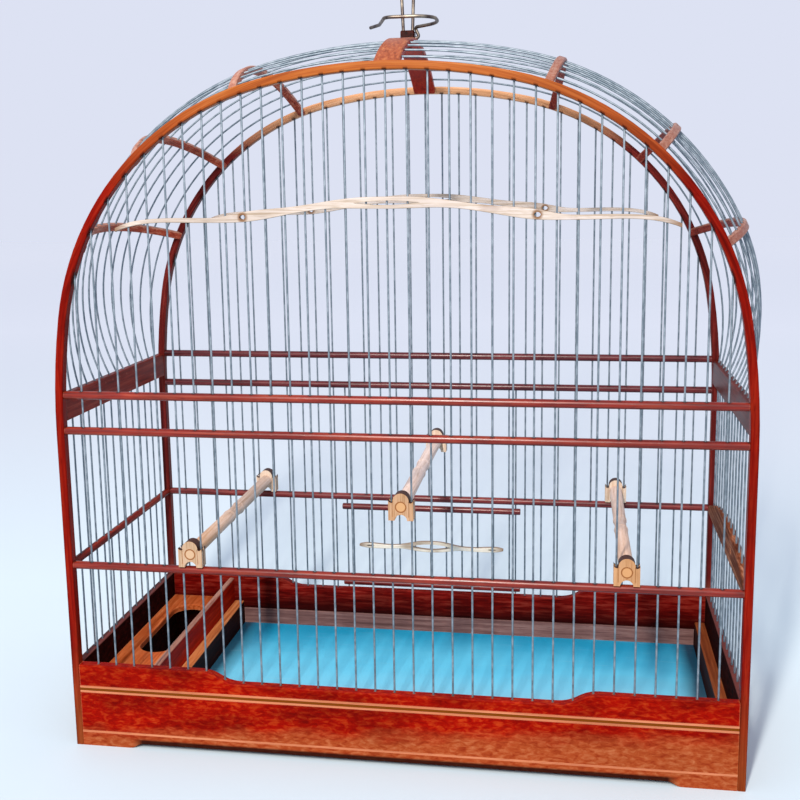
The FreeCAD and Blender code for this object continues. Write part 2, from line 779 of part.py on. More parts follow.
# Perch rod: a slight waist and two ringed beads, with a tenon through each saddle
def perch_rod(x, height):
    tip = wall_span / 2 + saddle_depth / 2
    shoulder = wall_span / 2 - saddle_depth / 2
    bead_in = perch_bead_place - perch_bead_half_width
    bead_out = perch_bead_place + perch_bead_half_width
    bead_foot = (perch_waist_radius + perch_bead_radius) / 2
    half = [(tip, 0), (tip, perch_tenon_radius), (shoulder, perch_tenon_radius), (shoulder, perch_radius)]
    half.append((bead_out, bead_foot))
    points = [V(radius, place, 0) for place, radius in half]
    crest = V(perch_bead_radius, perch_bead_place, 0)
    bead_end = V(bead_foot, bead_in, 0)
    waist = V(perch_waist_radius, 0, 0)
    edges = [line(a, b) for a, b in zip(points, points[1:])]
    edges.append(arc(points[-1], crest, bead_end))
    flip = [edge.mirror(V(0, 0, 0), BACKWARD) for edge in edges]
    middle = arc(bead_end, waist, V(bead_end.x, -bead_end.y, 0))
    axis = line(points[0], V(0, -tip, 0))
    profile = Part.Face(Part.Wire(Part.__sortEdges__(edges + flip + [middle, axis])))
    solid = profile.revolve(V(0, 0, 0), BACKWARD, 360)
    solid.translate(V(x, mid_y, height))
    return solid


# Perch saddle: a domed core with a wing over the wire on each side and an arched notch below
def saddle(x, plane_y, height):
    half_pitch = front_pitch / 2
    core = half_pitch - saddle_core_margin
    wing = half_pitch + saddle_wing_margin
    dome_foot = saddle_half_height - core
    low = -saddle_half_height
    notch = V(0, 0, saddle_notch_top)
    leg_in = V(saddle_notch_half_width, 0, low)
    ear = V(wing, 0, saddle_wing_top + saddle_ear_rise)
    hollow = V((core + wing) / 2, 0, saddle_wing_top)
    right = [line(leg_in, V(wing, 0, low)), line(V(wing, 0, low), ear)]
    right.append(arc(ear, hollow, V(core, 0, saddle_wing_top)))
    right.append(line(V(core, 0, saddle_wing_top), V(core, 0, dome_foot)))
    left = [mirrored_x(edge) for edge in right]
    dome = arc(V(core, 0, dome_foot), V(0, 0, saddle_half_height), V(-core, 0, dome_foot))
    arch_notch = arc(leg_in, notch, mirror_point(leg_in))
    body = extruded(Part.__sortEdges__(right + left + [dome, arch_notch]), BACKWARD * saddle_depth)
    body.translate(V(0, -saddle_depth / 2, 0))
    slot_half = wire_radius + running_gap
    cuts = [rod(perch_tenon_radius + perch_tenon_gap, V(0, -saddle_depth, 0), V(0, saddle_depth, 0))]
    for side in (-1, 1):
        inner = side * (half_pitch - slot_half)
        outer = side * (wing + cut_overrun)
        cuts.append(block(V(min(inner, outer), -slot_half, low - cut_overrun),
                          V(max(inner, outer), slot_half, saddle_half_height)))
        for face in (-1, 1):
            skin = sorted((face * saddle_depth / 2, face * (saddle_depth / 2 - saddle_groove_depth)))
            low_edge = V(side * core - saddle_groove_width / 2, skin[0], saddle_groove_foot)
            high_edge = V(side * core + saddle_groove_width / 2, skin[1], saddle_wing_top + saddle_groove_width)
            cuts.append(block(low_edge, high_edge))
    body = body.cut(joined(cuts))
    body.translate(V(x, plane_y, height))
    return body


# Hanger: a block that turns on a pin in the crown board, a wire eye and a pigtail
crown_top = arch_top - arch_thickness / 2 + roof_rise + lath_thickness / 2
block_low = crown_top + running_gap
block_high = block_low + hanger_block_height
tail_low = block_low + hanger_wire_radius + running_gap
pin_low = crown_top - lath_thickness
pin_high = block_low + hanger_pin_reach


def hanger_eye(radius):
    seat = tail_low + hanger_wire_radius + running_gap
    leg = hanger_leg_half_gap
    top = block_high + hanger_leg_length
    spread = hanger_eye_radius
    crest = top + 2 * spread
    neck_x = leg + hanger_leg_spread
    points = [V(-leg, hanger_y, seat), V(-leg, hanger_y, block_high), V(-neck_x, hanger_y, top)]
    points += [V(-spread, hanger_y, top + spread / 2), V(-spread, hanger_y, crest)]
    points += [mirror_point(p) for p in reversed(points)]
    neck = [spread, spread / 2, spread / 2]
    radii = neck + [spread * hanger_eye_round_share] * 2 + list(reversed(neck))
    return swept(bent_path(points, radii), radius)


def hanger_tail(radius):
    level = block_low + tail_ring_height
    side = hanger_block_width / 2
    near = hanger_y - tail_reach
    start = V(side - tail_seat, hanger_y, tail_low)
    kink = V(tail_kink_reach, hanger_y, tail_low)
    rise = V(side, hanger_y, level)
    points = [start, kink, rise, V(tail_lead_x, hanger_y - tail_lead_depth, level)]
    points += [V(tail_right_x, near, level), V(tail_left_x, near, level)]
    points += [V(tail_return_x, hanger_y - tail_return_depth, level), V(tail_tip_x, hanger_y - tail_tip_depth, level)]
    return swept(bent_path(points, [tail_bend_radius] * 2 + list(tail_radii)), radius)


def hanger_block():
    half = V(hanger_block_width / 2, hanger_block_depth / 2, 0)
    body = block(V(0, hanger_y, block_low) - half, V(0, hanger_y, block_high) + half)
    body = body.makeChamfer(hanger_block_bevel, [e for e in body.Edges if e.CenterOfMass.z > block_low])
    bore = rod(hanger_pin_radius + hanger_pin_gap, V(0, hanger_y, block_low - cut_overrun),
               V(0, hanger_y, pin_high + running_gap))
    seat = hanger_wire_radius + hanger_seat_gap
    return body.cut(Part.makeCompound([bore, hanger_eye(seat), hanger_tail(seat)]))


def hanger_pin():
    shaft = rod(hanger_pin_radius, V(0, hanger_y, pin_low), V(0, hanger_y, pin_high))
    head_low = V(0, hanger_y, pin_low - hanger_pin_head_height)
    return joined([shaft, rod(hanger_pin_head_radius, head_low, V(0, hanger_y, pin_low))])


def crown_board(roof_bores):
    board = placed_lath(90, crown_board_width).cut(roof_bores)
    seat_head = V(0, hanger_y, pin_low - hanger_pin_head_height)
    bore = rod(hanger_pin_radius + hanger_pin_gap, seat_head, V(0, hanger_y, pin_high))
    head = rod(hanger_pin_head_radius + hanger_pin_gap, seat_head, V(0, hanger_y, pin_low))
    return board.cut(joined([bore, head]))


def build_base():
    save("front_board", front_board())
    save("front_inlays", inlays())
    save("back_board", back_board().cut(guide_bores))
    save("left_board", side_board(-half_width))
    save("right_board", side_board(inner_half_width))
    save("feeder_board", feeder_board())
    save("feeder_divider", feeder_divider())
    save("left_tray_guide", tray_guide(divider_face_x, 1))
    save("right_tray_guide", tray_guide(inner_half_width, -1))
    save("tray_sheet", tray_sheet())
    save("tray_strip", tray_strip())


def build_frame():
    save("front_arch", arch(front_y, 1))
    save("back_arch", arch(back_y, -1))
    for name, height in (("upper", upper_rail_height), ("middle", middle_rail_height)):
        save("front_" + name + "_rail", wall_rail(front_y, height))
    save("back_upper_rail", wall_rail(back_y, upper_rail_height))
    save("back_middle_rail", wall_rail(back_y, middle_rail_height).cut(guide_bores))
    save("front_lower_rail", wall_rail(front_y, lower_rail_height))
    save("back_lower_rail", wall_rail(back_y, lower_rail_height, door_columns))
    save("left_mid_board", mid_board(-1))
    save("right_mid_board", mid_board(1))
    save("left_lower_rail", left_lower_rail())
    save("right_lower_board", right_lower_board())


def build_roof():
    bores = Part.makeCompound([roof_wire(y, wire_hole_radius) for y in side_rows])
    save("crown_board", crown_board(bores))
    for place, angle in lath_angles.items():
        lath = placed_lath(angle, lath_width).cut(bores)
        save("right_" + place + "_lath", lath)
        save("left_" + place + "_lath", mirrored_x(lath))
    save("roof_wires", [roof_wire(y, wire_radius) for y in side_rows])


def build_walls():
    save("front_wires", front_wires())
    save("back_wires", back_wires())
    save("left_wall_wires", side_wall_wires(-1))
    save("right_wall_wires", side_wall_wires(1))
    save("front_slat", wall_slat(front_y))
    save("back_slat", wall_slat(back_y))


def build_door():
    save("door_top_bar", door_bar(door_high_z))
    save("door_bottom_bar", door_bar(door_low_z))
    save("door_wires", door_wires())
    save("door_slat", door_slat())
    save("door_guides", [door_guide(side, wire_radius) for side in (-1, 1)])


def build_perches():
    for name, column in perch_columns.items():
        x = column_x(column)
        height = centre_perch_height if name == "centre" else side_perch_height
        save(name + "_perch", perch_rod(x, height))
        save(name + "_saddles", [saddle(x, plane_y, height) for plane_y in (front_y, back_y)])


def build_hanger():
    save("hanger_block", hanger_block())
    save("hanger_eye", hanger_eye(hanger_wire_radius))
    save("hanger_tail", hanger_tail(hanger_wire_radius))
    save("hanger_pin", hanger_pin())


os.makedirs("parts", exist_ok=True)
build_base()
build_frame()
build_roof()
build_walls()
build_door()
build_perches()
build_hanger()
print("arch top", round(arch_top, 1), "crown radius", round(crown_radius, 1), "pitch", round(front_pitch, 2))
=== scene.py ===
# %% [markdown]
# # A round-topped wooden bird cage
# This lesson dresses a cage whose pieces were made at their real size beforehand. They arrive as
# a fixed frame: arches, rails, wires, boards, perches, door, tray and hanger, each in its own
# place. What is left to do is what the eye notices first, which is the wood under its varnish,
# the drawn wire, the light and the view.

# %% Load the frame
import math
import bmesh
import bpy
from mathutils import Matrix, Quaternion, Vector


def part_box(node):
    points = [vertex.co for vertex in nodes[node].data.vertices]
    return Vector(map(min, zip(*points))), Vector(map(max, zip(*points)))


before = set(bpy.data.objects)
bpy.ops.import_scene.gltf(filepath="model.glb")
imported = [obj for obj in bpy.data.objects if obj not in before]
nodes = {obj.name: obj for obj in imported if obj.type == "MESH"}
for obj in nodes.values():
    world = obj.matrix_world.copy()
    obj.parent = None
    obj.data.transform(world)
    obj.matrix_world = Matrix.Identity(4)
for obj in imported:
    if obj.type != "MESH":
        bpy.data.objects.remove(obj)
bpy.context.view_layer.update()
MM = 0.001

# %% [markdown]
# ## The camera
# The photograph was taken from in front of the cage, a step to its right and a little above its
# middle. The camera's place and turn could be found by eye, but an arch's two feet, its top and
# the rails give enough straight lines to work them out, so the numbers here come from that. The
# picture was cropped off centre, which a lens shift repeats.

# %% Camera
picture_side_px = 800
focal_px = 1066.2
lens_centre_px = Vector((403.6, 357.4))
sensor_mm = 36.0
camera_place = Vector((130.0, -859.7, 440.2)) * MM
camera_aim = Vector((-0.1549, 0.9752, -0.1583))
camera_roll_deg = -0.79

lens = bpy.data.cameras.new("camera")
lens.sensor_width = sensor_mm
lens.lens = sensor_mm * focal_px / picture_side_px
lens.shift_x = 0.5 - lens_centre_px.x / picture_side_px
lens.shift_y = lens_centre_px.y / picture_side_px - 0.5
lens.clip_start = 10.0 * MM
camera = bpy.data.objects.new("camera", lens)
camera.rotation_mode = "QUATERNION"
camera.location = camera_place
roll = Quaternion((0, 0, 1), math.radians(camera_roll_deg))
camera.rotation_quaternion = camera_aim.to_track_quat("-Z", "Y") @ roll
bpy.context.scene.collection.objects.link(camera)
bpy.context.scene.camera = camera
print("lens in mm", round(lens.lens, 1))

# %% [markdown]
# ## Helpers for materials
# Colours are picked as sRGB hex values, the way a paint chart gives them, and shaders want linear
# light, so one function converts them. Another adds a node to a material, sets it and links it in
# one line, which keeps each finish short enough to read as a recipe.


# %% Colours and nodes
def linear(code):
    channels = [int(code[i:i + 2], 16) / 255 for i in (1, 3, 5)]
    return tuple(c / 12.92 if c <= 0.04045 else ((c + 0.055) / 1.055) ** 2.4
                 for c in channels) + (1.0,)


def add(tree, kind, links=(), stops=(), **settings):
    node = tree.nodes.new(kind)
    if kind == "ShaderNodeMix":
        node.data_type = "RGBA"      # every mix in this lesson is one of colours
    stops = list(stops)
    for name, value in settings.items():
        setattr(node, name, value)
    if stops:
        ramp = node.color_ramp
        while len(ramp.elements) < len(stops):
            ramp.elements.new(1.0)
        for element, (place, code) in zip(ramp.elements, stops):
            element.position = place
            element.color = linear(code)
    for socket, value in dict(links).items():
        if isinstance(value, bpy.types.NodeSocket):
            tree.links.new(value, node.inputs[socket])
        else:
            node.inputs[socket].default_value = value
    return node


print("orange in linear light", [round(c, 3) for c in linear("#c0662a")])


# %% Materials and nodes of the frame
def new_material(name, **sockets):
    material = bpy.data.materials.new(name)
    material.use_nodes = True
    shader = material.node_tree.nodes["Principled BSDF"]
    for socket, value in sockets.items():
        shader.inputs[socket.replace("_", " ")].default_value = value
    return material, material.node_tree, shader


def repaint(tree, colour):
    tree.links.new(colour, tree.nodes["Principled BSDF"].inputs["Base Color"])


def dress(material, *names):
    for name in names:
        nodes[name].data.materials.clear()
        nodes[name].data.materials.append(material)
    print(material.name, "on", len(names))


print("pieces to dress", len(nodes))

# %% [markdown]
# ## Varnished wood
# The cage is made of stained hardwood laths under a thin clear varnish. The eye reads three
# scales in it: slow clouds of tone, streaks of grain, and short dark pores. Each is a noise
# stretched along the grain. One more mark is partly wear and partly painted highlight: the edges
# are lightened, as if the stain were rubbed thin there, and the same paler tone stands in for the
# bright lines that light catches along rounded edges. A bevelled normal that differs from the true
# one finds them. Pores are drawn 0.7 mm wide, about three times the real width, because thinner
# ones would fall between the picture's pixels.

# %% Grain and clouds
ALONG_X, ALONG_Y, ALONG_Z = 0, 1, 2
GRAIN_STEPS = (0.32, 0.5, 0.7)       # of the streaks' noise, where a wood's three tones lie
CLOUD_STOPS = ((0.34, "#7d6a62"), (0.5, "#d8d0cc"), (0.66, "#ffffff"))
CLOUD_STRETCH = 2.2                  # length of a cloud along the grain, in widths


def grain_scale(axis, width_mm, run_mm):
    scale = [1 / (width_mm * MM)] * 3
    scale[axis] = 1 / (run_mm * MM)
    return scale


def grained(tree, place, tones, steps, axis, grain_mm, run_mm, cloud_mm, cloud):
    along = add(tree, "ShaderNodeMapping",
                {"Vector": place, "Scale": grain_scale(axis, grain_mm, run_mm)})
    streaks = add(tree, "ShaderNodeTexNoise",
                  {"Vector": along.outputs[0], "Scale": 1.0, "Detail": 7.0, "Roughness": 0.62,
                   "Distortion": 0.5}).outputs["Fac"]
    stain = add(tree, "ShaderNodeValToRGB", {"Fac": streaks}, stops=zip(steps, tones))
    wide = add(tree, "ShaderNodeMapping",
               {"Vector": place, "Scale": grain_scale(axis, cloud_mm, CLOUD_STRETCH * cloud_mm)})
    clouds = add(tree, "ShaderNodeTexNoise",
                 {"Vector": wide.outputs[0], "Scale": 1.0, "Detail": 4.0,
                  "Roughness": 0.6}).outputs["Fac"]
    shade = add(tree, "ShaderNodeValToRGB", {"Fac": clouds}, stops=CLOUD_STOPS)
    body = add(tree, "ShaderNodeMix", {0: cloud, 6: stain.outputs[0], 7: shade.outputs[0]},
               blend_type="MULTIPLY")
    return body.outputs[2], streaks, clouds


print("noise from dark to pale grain", GRAIN_STEPS)

# %% Pores, and rubbed edges with painted highlights
PORE_WIDTH_MM, PORE_RUN_MM = 0.7, 9.0
PORE_FROM, PORE_FULL = 0.57, 0.74    # of their noise, so that only its peaks become pores
EDGE_MM, EDGE_SHARE = 1.3, 0.8       # width of a rubbed edge, and the most that it is rubbed
EDGE_FROM, EDGE_FULL = 0.97, 0.75    # likeness of the true and the bevelled normal
BEVEL_RAYS = 4


def pored(tree, place, axis, colour, pore_tone):
    fine = add(tree, "ShaderNodeMapping",
               {"Vector": place, "Scale": grain_scale(axis, PORE_WIDTH_MM, PORE_RUN_MM)})
    pores = add(tree, "ShaderNodeTexNoise",
                {"Vector": fine.outputs[0], "Scale": 1.0, "Detail": 3.0})
    depth = add(tree, "ShaderNodeMapRange", {"Value": pores.outputs["Fac"], "From Min": PORE_FROM,
                                             "From Max": PORE_FULL}).outputs[0]
    dark = add(tree, "ShaderNodeMix", {0: depth, 6: colour, 7: linear(pore_tone)})
    return dark.outputs[2], depth


# Edges are lightened: partly wear, partly a painted highlight along them.
def rubbed_and_highlit(tree, colour, worn_tone, clouds):
    rounded = add(tree, "ShaderNodeBevel", {"Radius": EDGE_MM * MM}, samples=BEVEL_RAYS)
    true_normal = add(tree, "ShaderNodeNewGeometry").outputs["Normal"]
    alike = add(tree, "ShaderNodeVectorMath", {0: rounded.outputs[0], 1: true_normal},
                operation="DOT_PRODUCT")
    edge = add(tree, "ShaderNodeMapRange",
               {"Value": alike.outputs["Value"], "From Min": EDGE_FROM, "From Max": EDGE_FULL,
                "To Max": EDGE_SHARE})
    patchy = add(tree, "ShaderNodeMath", {0: edge.outputs[0], 1: clouds}, operation="MULTIPLY")
    thinned_and_highlit = add(tree, "ShaderNodeMix", {0: patchy.outputs[0], 6: colour, 7: linear(worn_tone)})
    return thinned_and_highlit.outputs[2]


print("pores in mm", PORE_WIDTH_MM, "by", PORE_RUN_MM)

# %% Wood recipe
WOOD_IOR, COAT_ROUGHNESS = 1.5, 0.15
SHEEN_BELOW, SHEEN_ABOVE = 0.08, 0.1     # the roughness wanders this far with the clouds
PORE_RELIEF, PORE_DEPTH = 0.25, 0.15 * MM


def wood(name, tones, worn, axis, grain_mm, run_mm, cloud_mm, cloud, roughness, gloss, coat,
         steps=GRAIN_STEPS, where=None):
    material, tree, shader = new_material(name, IOR=WOOD_IOR, Specular_IOR_Level=gloss,
                                          Coat_Weight=coat, Coat_Roughness=COAT_ROUGHNESS)
    place = where(tree) if where else add(tree, "ShaderNodeTexCoord").outputs["Object"]
    body, streaks, clouds = grained(tree, place, tones, steps, axis, grain_mm, run_mm, cloud_mm,
                                    cloud)
    dark, depth = pored(tree, place, axis, body, tones[0])
    colour = rubbed_and_highlit(tree, dark, worn, clouds)
    repaint(tree, colour)
    sheen = add(tree, "ShaderNodeMapRange", {"Value": clouds, "To Min": roughness - SHEEN_BELOW,
                                             "To Max": roughness + SHEEN_ABOVE})
    tree.links.new(sheen.outputs[0], shader.inputs["Roughness"])
    dents = add(tree, "ShaderNodeBump",
                {"Height": depth, "Strength": PORE_RELIEF, "Distance": PORE_DEPTH}, invert=True)
    tree.links.new(dents.outputs[0], shader.inputs["Normal"])
    return material, streaks, colour


print("pore depth in mm", PORE_DEPTH / MM)

# %% [markdown]
# ## Holes for the wires
# Every wire of the front and back walls runs through drilled holes in the rails, and a dark dot
# is drawn round each hole. The dots could be small discs laid on the wood, but a wire stands at
# every pitch, so the distance to the nearest wire's axis, folded to and fro along the rail, draws
# them all.

# %% Places of the wires
wires_low, wires_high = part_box("front_wires")
wire_radius = (wires_high.y - wires_low.y) / 2
wires_each_side = 16
wire_pitch = (wires_high.x - wire_radius) / wires_each_side
front_wall_y = (wires_low.y + wires_high.y) / 2
back_wires_low, back_wires_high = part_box("back_wires")
back_wall_y = (back_wires_low.y + back_wires_high.y) / 2
wall_middle, wall_half = (front_wall_y + back_wall_y) / 2, (back_wall_y - front_wall_y) / 2
print("wire pitch in mm", round(wire_pitch / MM, 2))

# %% Dark rims of the wire holes
rim_from, rim_full, rim_share = wire_radius + 1.8 * MM, wire_radius + 0.7 * MM, 0.85
rim_tone = "#1c0604"


def with_hole_rims(tree, wood_colour):
    place = add(tree, "ShaderNodeTexCoord").outputs["Object"]
    x, y, _ = add(tree, "ShaderNodeSeparateXYZ", {0: place}).outputs
    aside = add(tree, "ShaderNodeMath", {0: x, 1: wire_pitch / 2}, operation="PINGPONG")
    deep = add(tree, "ShaderNodeMath", {0: y, 1: wall_middle}, operation="SUBTRACT")
    outwards = add(tree, "ShaderNodeMath", {0: deep.outputs[0]}, operation="ABSOLUTE")
    off_wall = add(tree, "ShaderNodeMath", {0: outwards.outputs[0], 1: wall_half},
                   operation="SUBTRACT")
    offset = add(tree, "ShaderNodeCombineXYZ", {0: aside.outputs[0], 1: off_wall.outputs[0]})
    reach = add(tree, "ShaderNodeVectorMath", {0: offset.outputs[0]}, operation="LENGTH")
    rim = add(tree, "ShaderNodeMapRange", {"Value": reach.outputs["Value"], "From Min": rim_from,
                                           "From Max": rim_full, "To Max": rim_share})
    rimmed = add(tree, "ShaderNodeMix", {0: rim.outputs[0], 6: wood_colour, 7: linear(rim_tone)})
    repaint(tree, rimmed.outputs[2])


print("rims in mm from the wire's axis", round(rim_from / MM, 2))

# %% [markdown]
# ## The bent arches
# An arch is a straight lath steamed and bent, so its grain runs round the bend with it. Straight
# noise would cut across the curve. Polar coordinates over the spring line, with the height
# stretched until the flattened arch is round, and plain ones below it turn the place on the arch
# into a distance along it and a distance across it, and the recipe then works as on a straight
# lath.
#
# Light is painted into the stain: each arch goes from deep red at the legs to a painted lit crown,
# orange on the front arch and tan on the back one, and a painted glare pales the feet. The wires
# end in sockets on its inner side, and a dark dot is drawn on that edge at each one. A bevelled
# normal that leans to the middle of the arch finds the edge, and the wires' pitch places the dots.

# %% Way round an arch
arch_low, arch_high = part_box("front_arch")
arch_half_width = (arch_high.x - arch_low.x) / 2
rise_share = 0.84                    # of the half width, from the spring line to the crown
spring_height = arch_high.z - arch_half_width * rise_share


def round_the_bend(tree):
    place = add(tree, "ShaderNodeTexCoord").outputs["Object"]
    x, y, z = add(tree, "ShaderNodeSeparateXYZ", {0: place}).outputs
    above = add(tree, "ShaderNodeMath", {0: z, 1: spring_height}, operation="SUBTRACT").outputs[0]
    rise = add(tree, "ShaderNodeMath", {0: above, 1: 0.0}, operation="MAXIMUM").outputs[0]
    up = add(tree, "ShaderNodeMath", {0: rise, 1: rise_share}, operation="DIVIDE").outputs[0]
    down = add(tree, "ShaderNodeMath", {0: above, 1: 0.0}, operation="MINIMUM").outputs[0]
    angle = add(tree, "ShaderNodeMath", {0: up, 1: x}, operation="ARCTAN2").outputs[0]
    run = add(tree, "ShaderNodeMath", {0: angle, 1: arch_half_width, 2: down},
              operation="MULTIPLY_ADD").outputs[0]
    spoke = add(tree, "ShaderNodeCombineXYZ", {0: x, 2: up}).outputs[0]
    reach = add(tree, "ShaderNodeVectorMath", {0: spoke}, operation="LENGTH").outputs["Value"]
    return add(tree, "ShaderNodeCombineXYZ", {0: run, 1: y, 2: reach}).outputs[0]


print("arch half width in mm", round(arch_half_width / MM, 1))

# %% Sockets of the wires in an arch
socket_from, socket_full, socket_share = 2.1 * MM, 1.2 * MM, 0.9
socket_edge, socket_tone = 2.4 * MM, "#2a0604"
lean_from, lean_full = -0.1, -0.3    # of the bevelled normal, towards the middle of the arch
sockets_above = spring_height + 40.0 * MM


def with_sockets(tree, wood_colour):
    place = add(tree, "ShaderNodeTexCoord").outputs["Object"]
    x, _, z = add(tree, "ShaderNodeSeparateXYZ", {0: place}).outputs
    aside = add(tree, "ShaderNodeMath", {0: x, 1: wire_pitch / 2}, operation="PINGPONG")
    at_wire = add(tree, "ShaderNodeMapRange",
                  {"Value": aside.outputs[0], "From Min": socket_from, "From Max": socket_full,
                   "To Max": socket_share})
    above = add(tree, "ShaderNodeMath", {0: z, 1: spring_height}, operation="SUBTRACT")
    spoke = add(tree, "ShaderNodeCombineXYZ", {0: x, 2: above.outputs[0]})
    outwards = add(tree, "ShaderNodeVectorMath", {0: spoke.outputs[0]}, operation="NORMALIZE")
    softened = add(tree, "ShaderNodeBevel", {"Radius": socket_edge}, samples=BEVEL_RAYS)
    lean = add(tree, "ShaderNodeVectorMath", {0: softened.outputs[0], 1: outwards.outputs[0]},
               operation="DOT_PRODUCT")
    inner = add(tree, "ShaderNodeMapRange", {"Value": lean.outputs["Value"],
                                             "From Min": lean_from, "From Max": lean_full})
    high = add(tree, "ShaderNodeMath", {0: z, 1: sockets_above}, operation="GREATER_THAN")
    edge = add(tree, "ShaderNodeMath", {0: inner.outputs[0], 1: high.outputs[0]},
               operation="MULTIPLY")
    dot = add(tree, "ShaderNodeMath", {0: edge.outputs[0], 1: at_wire.outputs[0]},
              operation="MULTIPLY")
    dotted = add(tree, "ShaderNodeMix", {0: dot.outputs[0], 6: wood_colour, 7: linear(socket_tone)})
    repaint(tree, dotted.outputs[2])


print("wires enter above mm", round(sockets_above / MM))

# %% Arches
lath_looks = dict(grain_mm=2.2, run_mm=60.0, cloud_mm=24.0, cloud=0.45, roughness=0.36, gloss=0.05,
                  coat=0.0)
# heights where the painted lit crown and the painted glare on the feet begin and are full
crown_light_full = 522.0 * MM
foot_glare_from, foot_glare_full, foot_glare_share = 85.0 * MM, 10.0 * MM, 0.38


def bent_lath(name, leg_tones, crown_light_tones, worn, crown_light_from):
    material, grain, leg_colour = wood(name, leg_tones, worn, ALONG_X, where=round_the_bend,
                                       **lath_looks)
    tree = material.node_tree
    # the crown and the feet are painted paler: painted light
    lit_crown_tint = add(tree, "ShaderNodeValToRGB", {"Fac": grain}, stops=zip(GRAIN_STEPS, crown_light_tones))
    place = add(tree, "ShaderNodeTexCoord").outputs["Object"]
    z = add(tree, "ShaderNodeSeparateXYZ", {0: place}).outputs[2]
    crown = add(tree, "ShaderNodeMapRange",
                {"Value": z, "From Min": crown_light_from, "From Max": crown_light_full})
    foot = add(tree, "ShaderNodeMapRange", {"Value": z, "From Min": foot_glare_from,
                                            "From Max": foot_glare_full, "To Max": foot_glare_share})
    pale = add(tree, "ShaderNodeMath", {0: crown.outputs[0], 1: foot.outputs[0]},
               operation="MAXIMUM")
    colour = add(tree, "ShaderNodeMix", {0: pale.outputs[0], 6: leg_colour, 7: lit_crown_tint.outputs[0]})
    with_sockets(tree, colour.outputs[2])
    return material


# Bent hardwood under varnish: deep red legs under a painted lit crown, orange in front and tan at
# the back.
dress(bent_lath("varnished bent lath", ("#560500", "#760c02", "#8a220e"),
                ("#7c3c19", "#945021", "#a36635"), worn="#8e3018", crown_light_from=440.0 * MM),
      "front_arch")
dress(bent_lath("varnished bent lath at the back", ("#431412", "#621917", "#7f3229"),
                ("#bc865c", "#d89e72", "#e4b48c"), worn="#7a4438", crown_light_from=470.0 * MM),
      "back_arch")

# %% [markdown]
# ## Rails, roof laths and boards of the frame
# The straight pieces take the same wood, turned to run along them. The rails are round and carry
# a thicker varnish, so a bright line runs along the top of each. The back rails get darker
# wine-red tones: painted shade for the less light that reaches them behind the wires. The roof
# laths are painted tan on top and towards the front, painted light where the lamp and the bright
# room shine on them, and stay red underneath, so the way a face points and its depth decide
# between two tones.

# %% Rails
rail_looks = dict(lath_looks, roughness=0.3, gloss=0.35, coat=0.06)


def drilled_rail(name, tones, worn):
    material, _, colour = wood(name, tones, worn, ALONG_X, **rail_looks)
    with_hole_rims(material.node_tree, colour)
    return material


# Turned hardwood under thick varnish: dark red, with a bright line along the top and dotted holes.
dress(drilled_rail("varnished rail", ("#4c0e08", "#781a0c", "#903a21"), worn="#b06a4c"),
      "front_upper_rail", "front_middle_rail", "front_lower_rail")
# The back rails' darker tones are painted shade.
dress(drilled_rail("varnished rail at the back in painted shade", ("#330c10", "#5b181e", "#753232"), worn="#84504a"),
      "back_upper_rail", "back_middle_rail")
dress(drilled_rail("varnished rail by the door", ("#431415", "#752324", "#97453c"), worn="#a8685a"),
      "back_lower_rail", "door_top_bar", "door_bottom_bar")

# %% Side laths and peg board
dull_looks = dict(lath_looks, roughness=0.65, gloss=0.02)

# Planed hardwood under thin varnish: red-brown streaks that shine little.
dress(wood("varnished side lath", ("#54120a", "#7c2014", "#96402e"), worn="#a87258",
           axis=ALONG_Y, **lath_looks)[0], "left_mid_board", "left_lower_rail")
# The right board is a darker copy of the side lath: painted shade.
dress(wood("varnished side lath in painted shade", ("#3b0905", "#59140b", "#6d2a1d"), worn="#7a5240",
           axis=ALONG_Y, **lath_looks)[0], "right_mid_board")
# Stained hardwood without varnish: a dull brown board, paler where it is handled.
dress(wood("dark stained peg board", ("#452015", "#7a422b", "#ba8365"), worn="#c49a7c",
           axis=ALONG_Y, **dull_looks)[0], "right_lower_board")

# %% Wood with a painted lit top
front_light_from, front_light_full = 30.0 * MM, -80.0 * MM      # from the middle of the cage to its front
level_from, level_full = 0.0, 0.5                     # of the normal's upward part


# A face turned up, and the front of a roof lath, get the lighter tones: painted light.
def lit_top_two_tone(name, side_tones, lit_top_tones, worn, looks, front_light_share=0.0):
    material, grain, side = wood(name, side_tones, worn, ALONG_Y, **looks)
    tree = material.node_tree
    painted_lighter = add(tree, "ShaderNodeValToRGB", {"Fac": grain}, stops=zip(GRAIN_STEPS, lit_top_tones))
    source = add(tree, "ShaderNodeTexCoord")
    up = add(tree, "ShaderNodeSeparateXYZ", {0: source.outputs["Normal"]}).outputs[2]
    top = add(tree, "ShaderNodeMapRange",
              {"Value": up, "From Min": level_from, "From Max": level_full})
    y = add(tree, "ShaderNodeSeparateXYZ", {0: source.outputs["Object"]}).outputs[1]
    front = add(tree, "ShaderNodeMapRange", {"Value": y, "From Min": front_light_from,
                                             "From Max": front_light_full, "To Max": front_light_share})
    light = add(tree, "ShaderNodeMath", {0: top.outputs[0], 1: front.outputs[0]},
                operation="MAXIMUM")
    colour = add(tree, "ShaderNodeMix", {0: light.outputs[0], 6: side, 7: painted_lighter.outputs[0]})
    repaint(tree, colour.outputs[2])
    return material


print("bleached from mm", round(front_light_from / MM), "to", round(front_light_full / MM))

# %% Roof laths and crown board
roof_front_light = 0.6
roof_tones_with_light = {"left": (("#803021", "#ad482f", "#c77e63"), ("#8c5442", "#a46e58", "#b4907e")),
               "right": (("#6a1c12", "#902c1c", "#a6503e"), ("#7c4838", "#905f4d", "#9e7d6e"))}

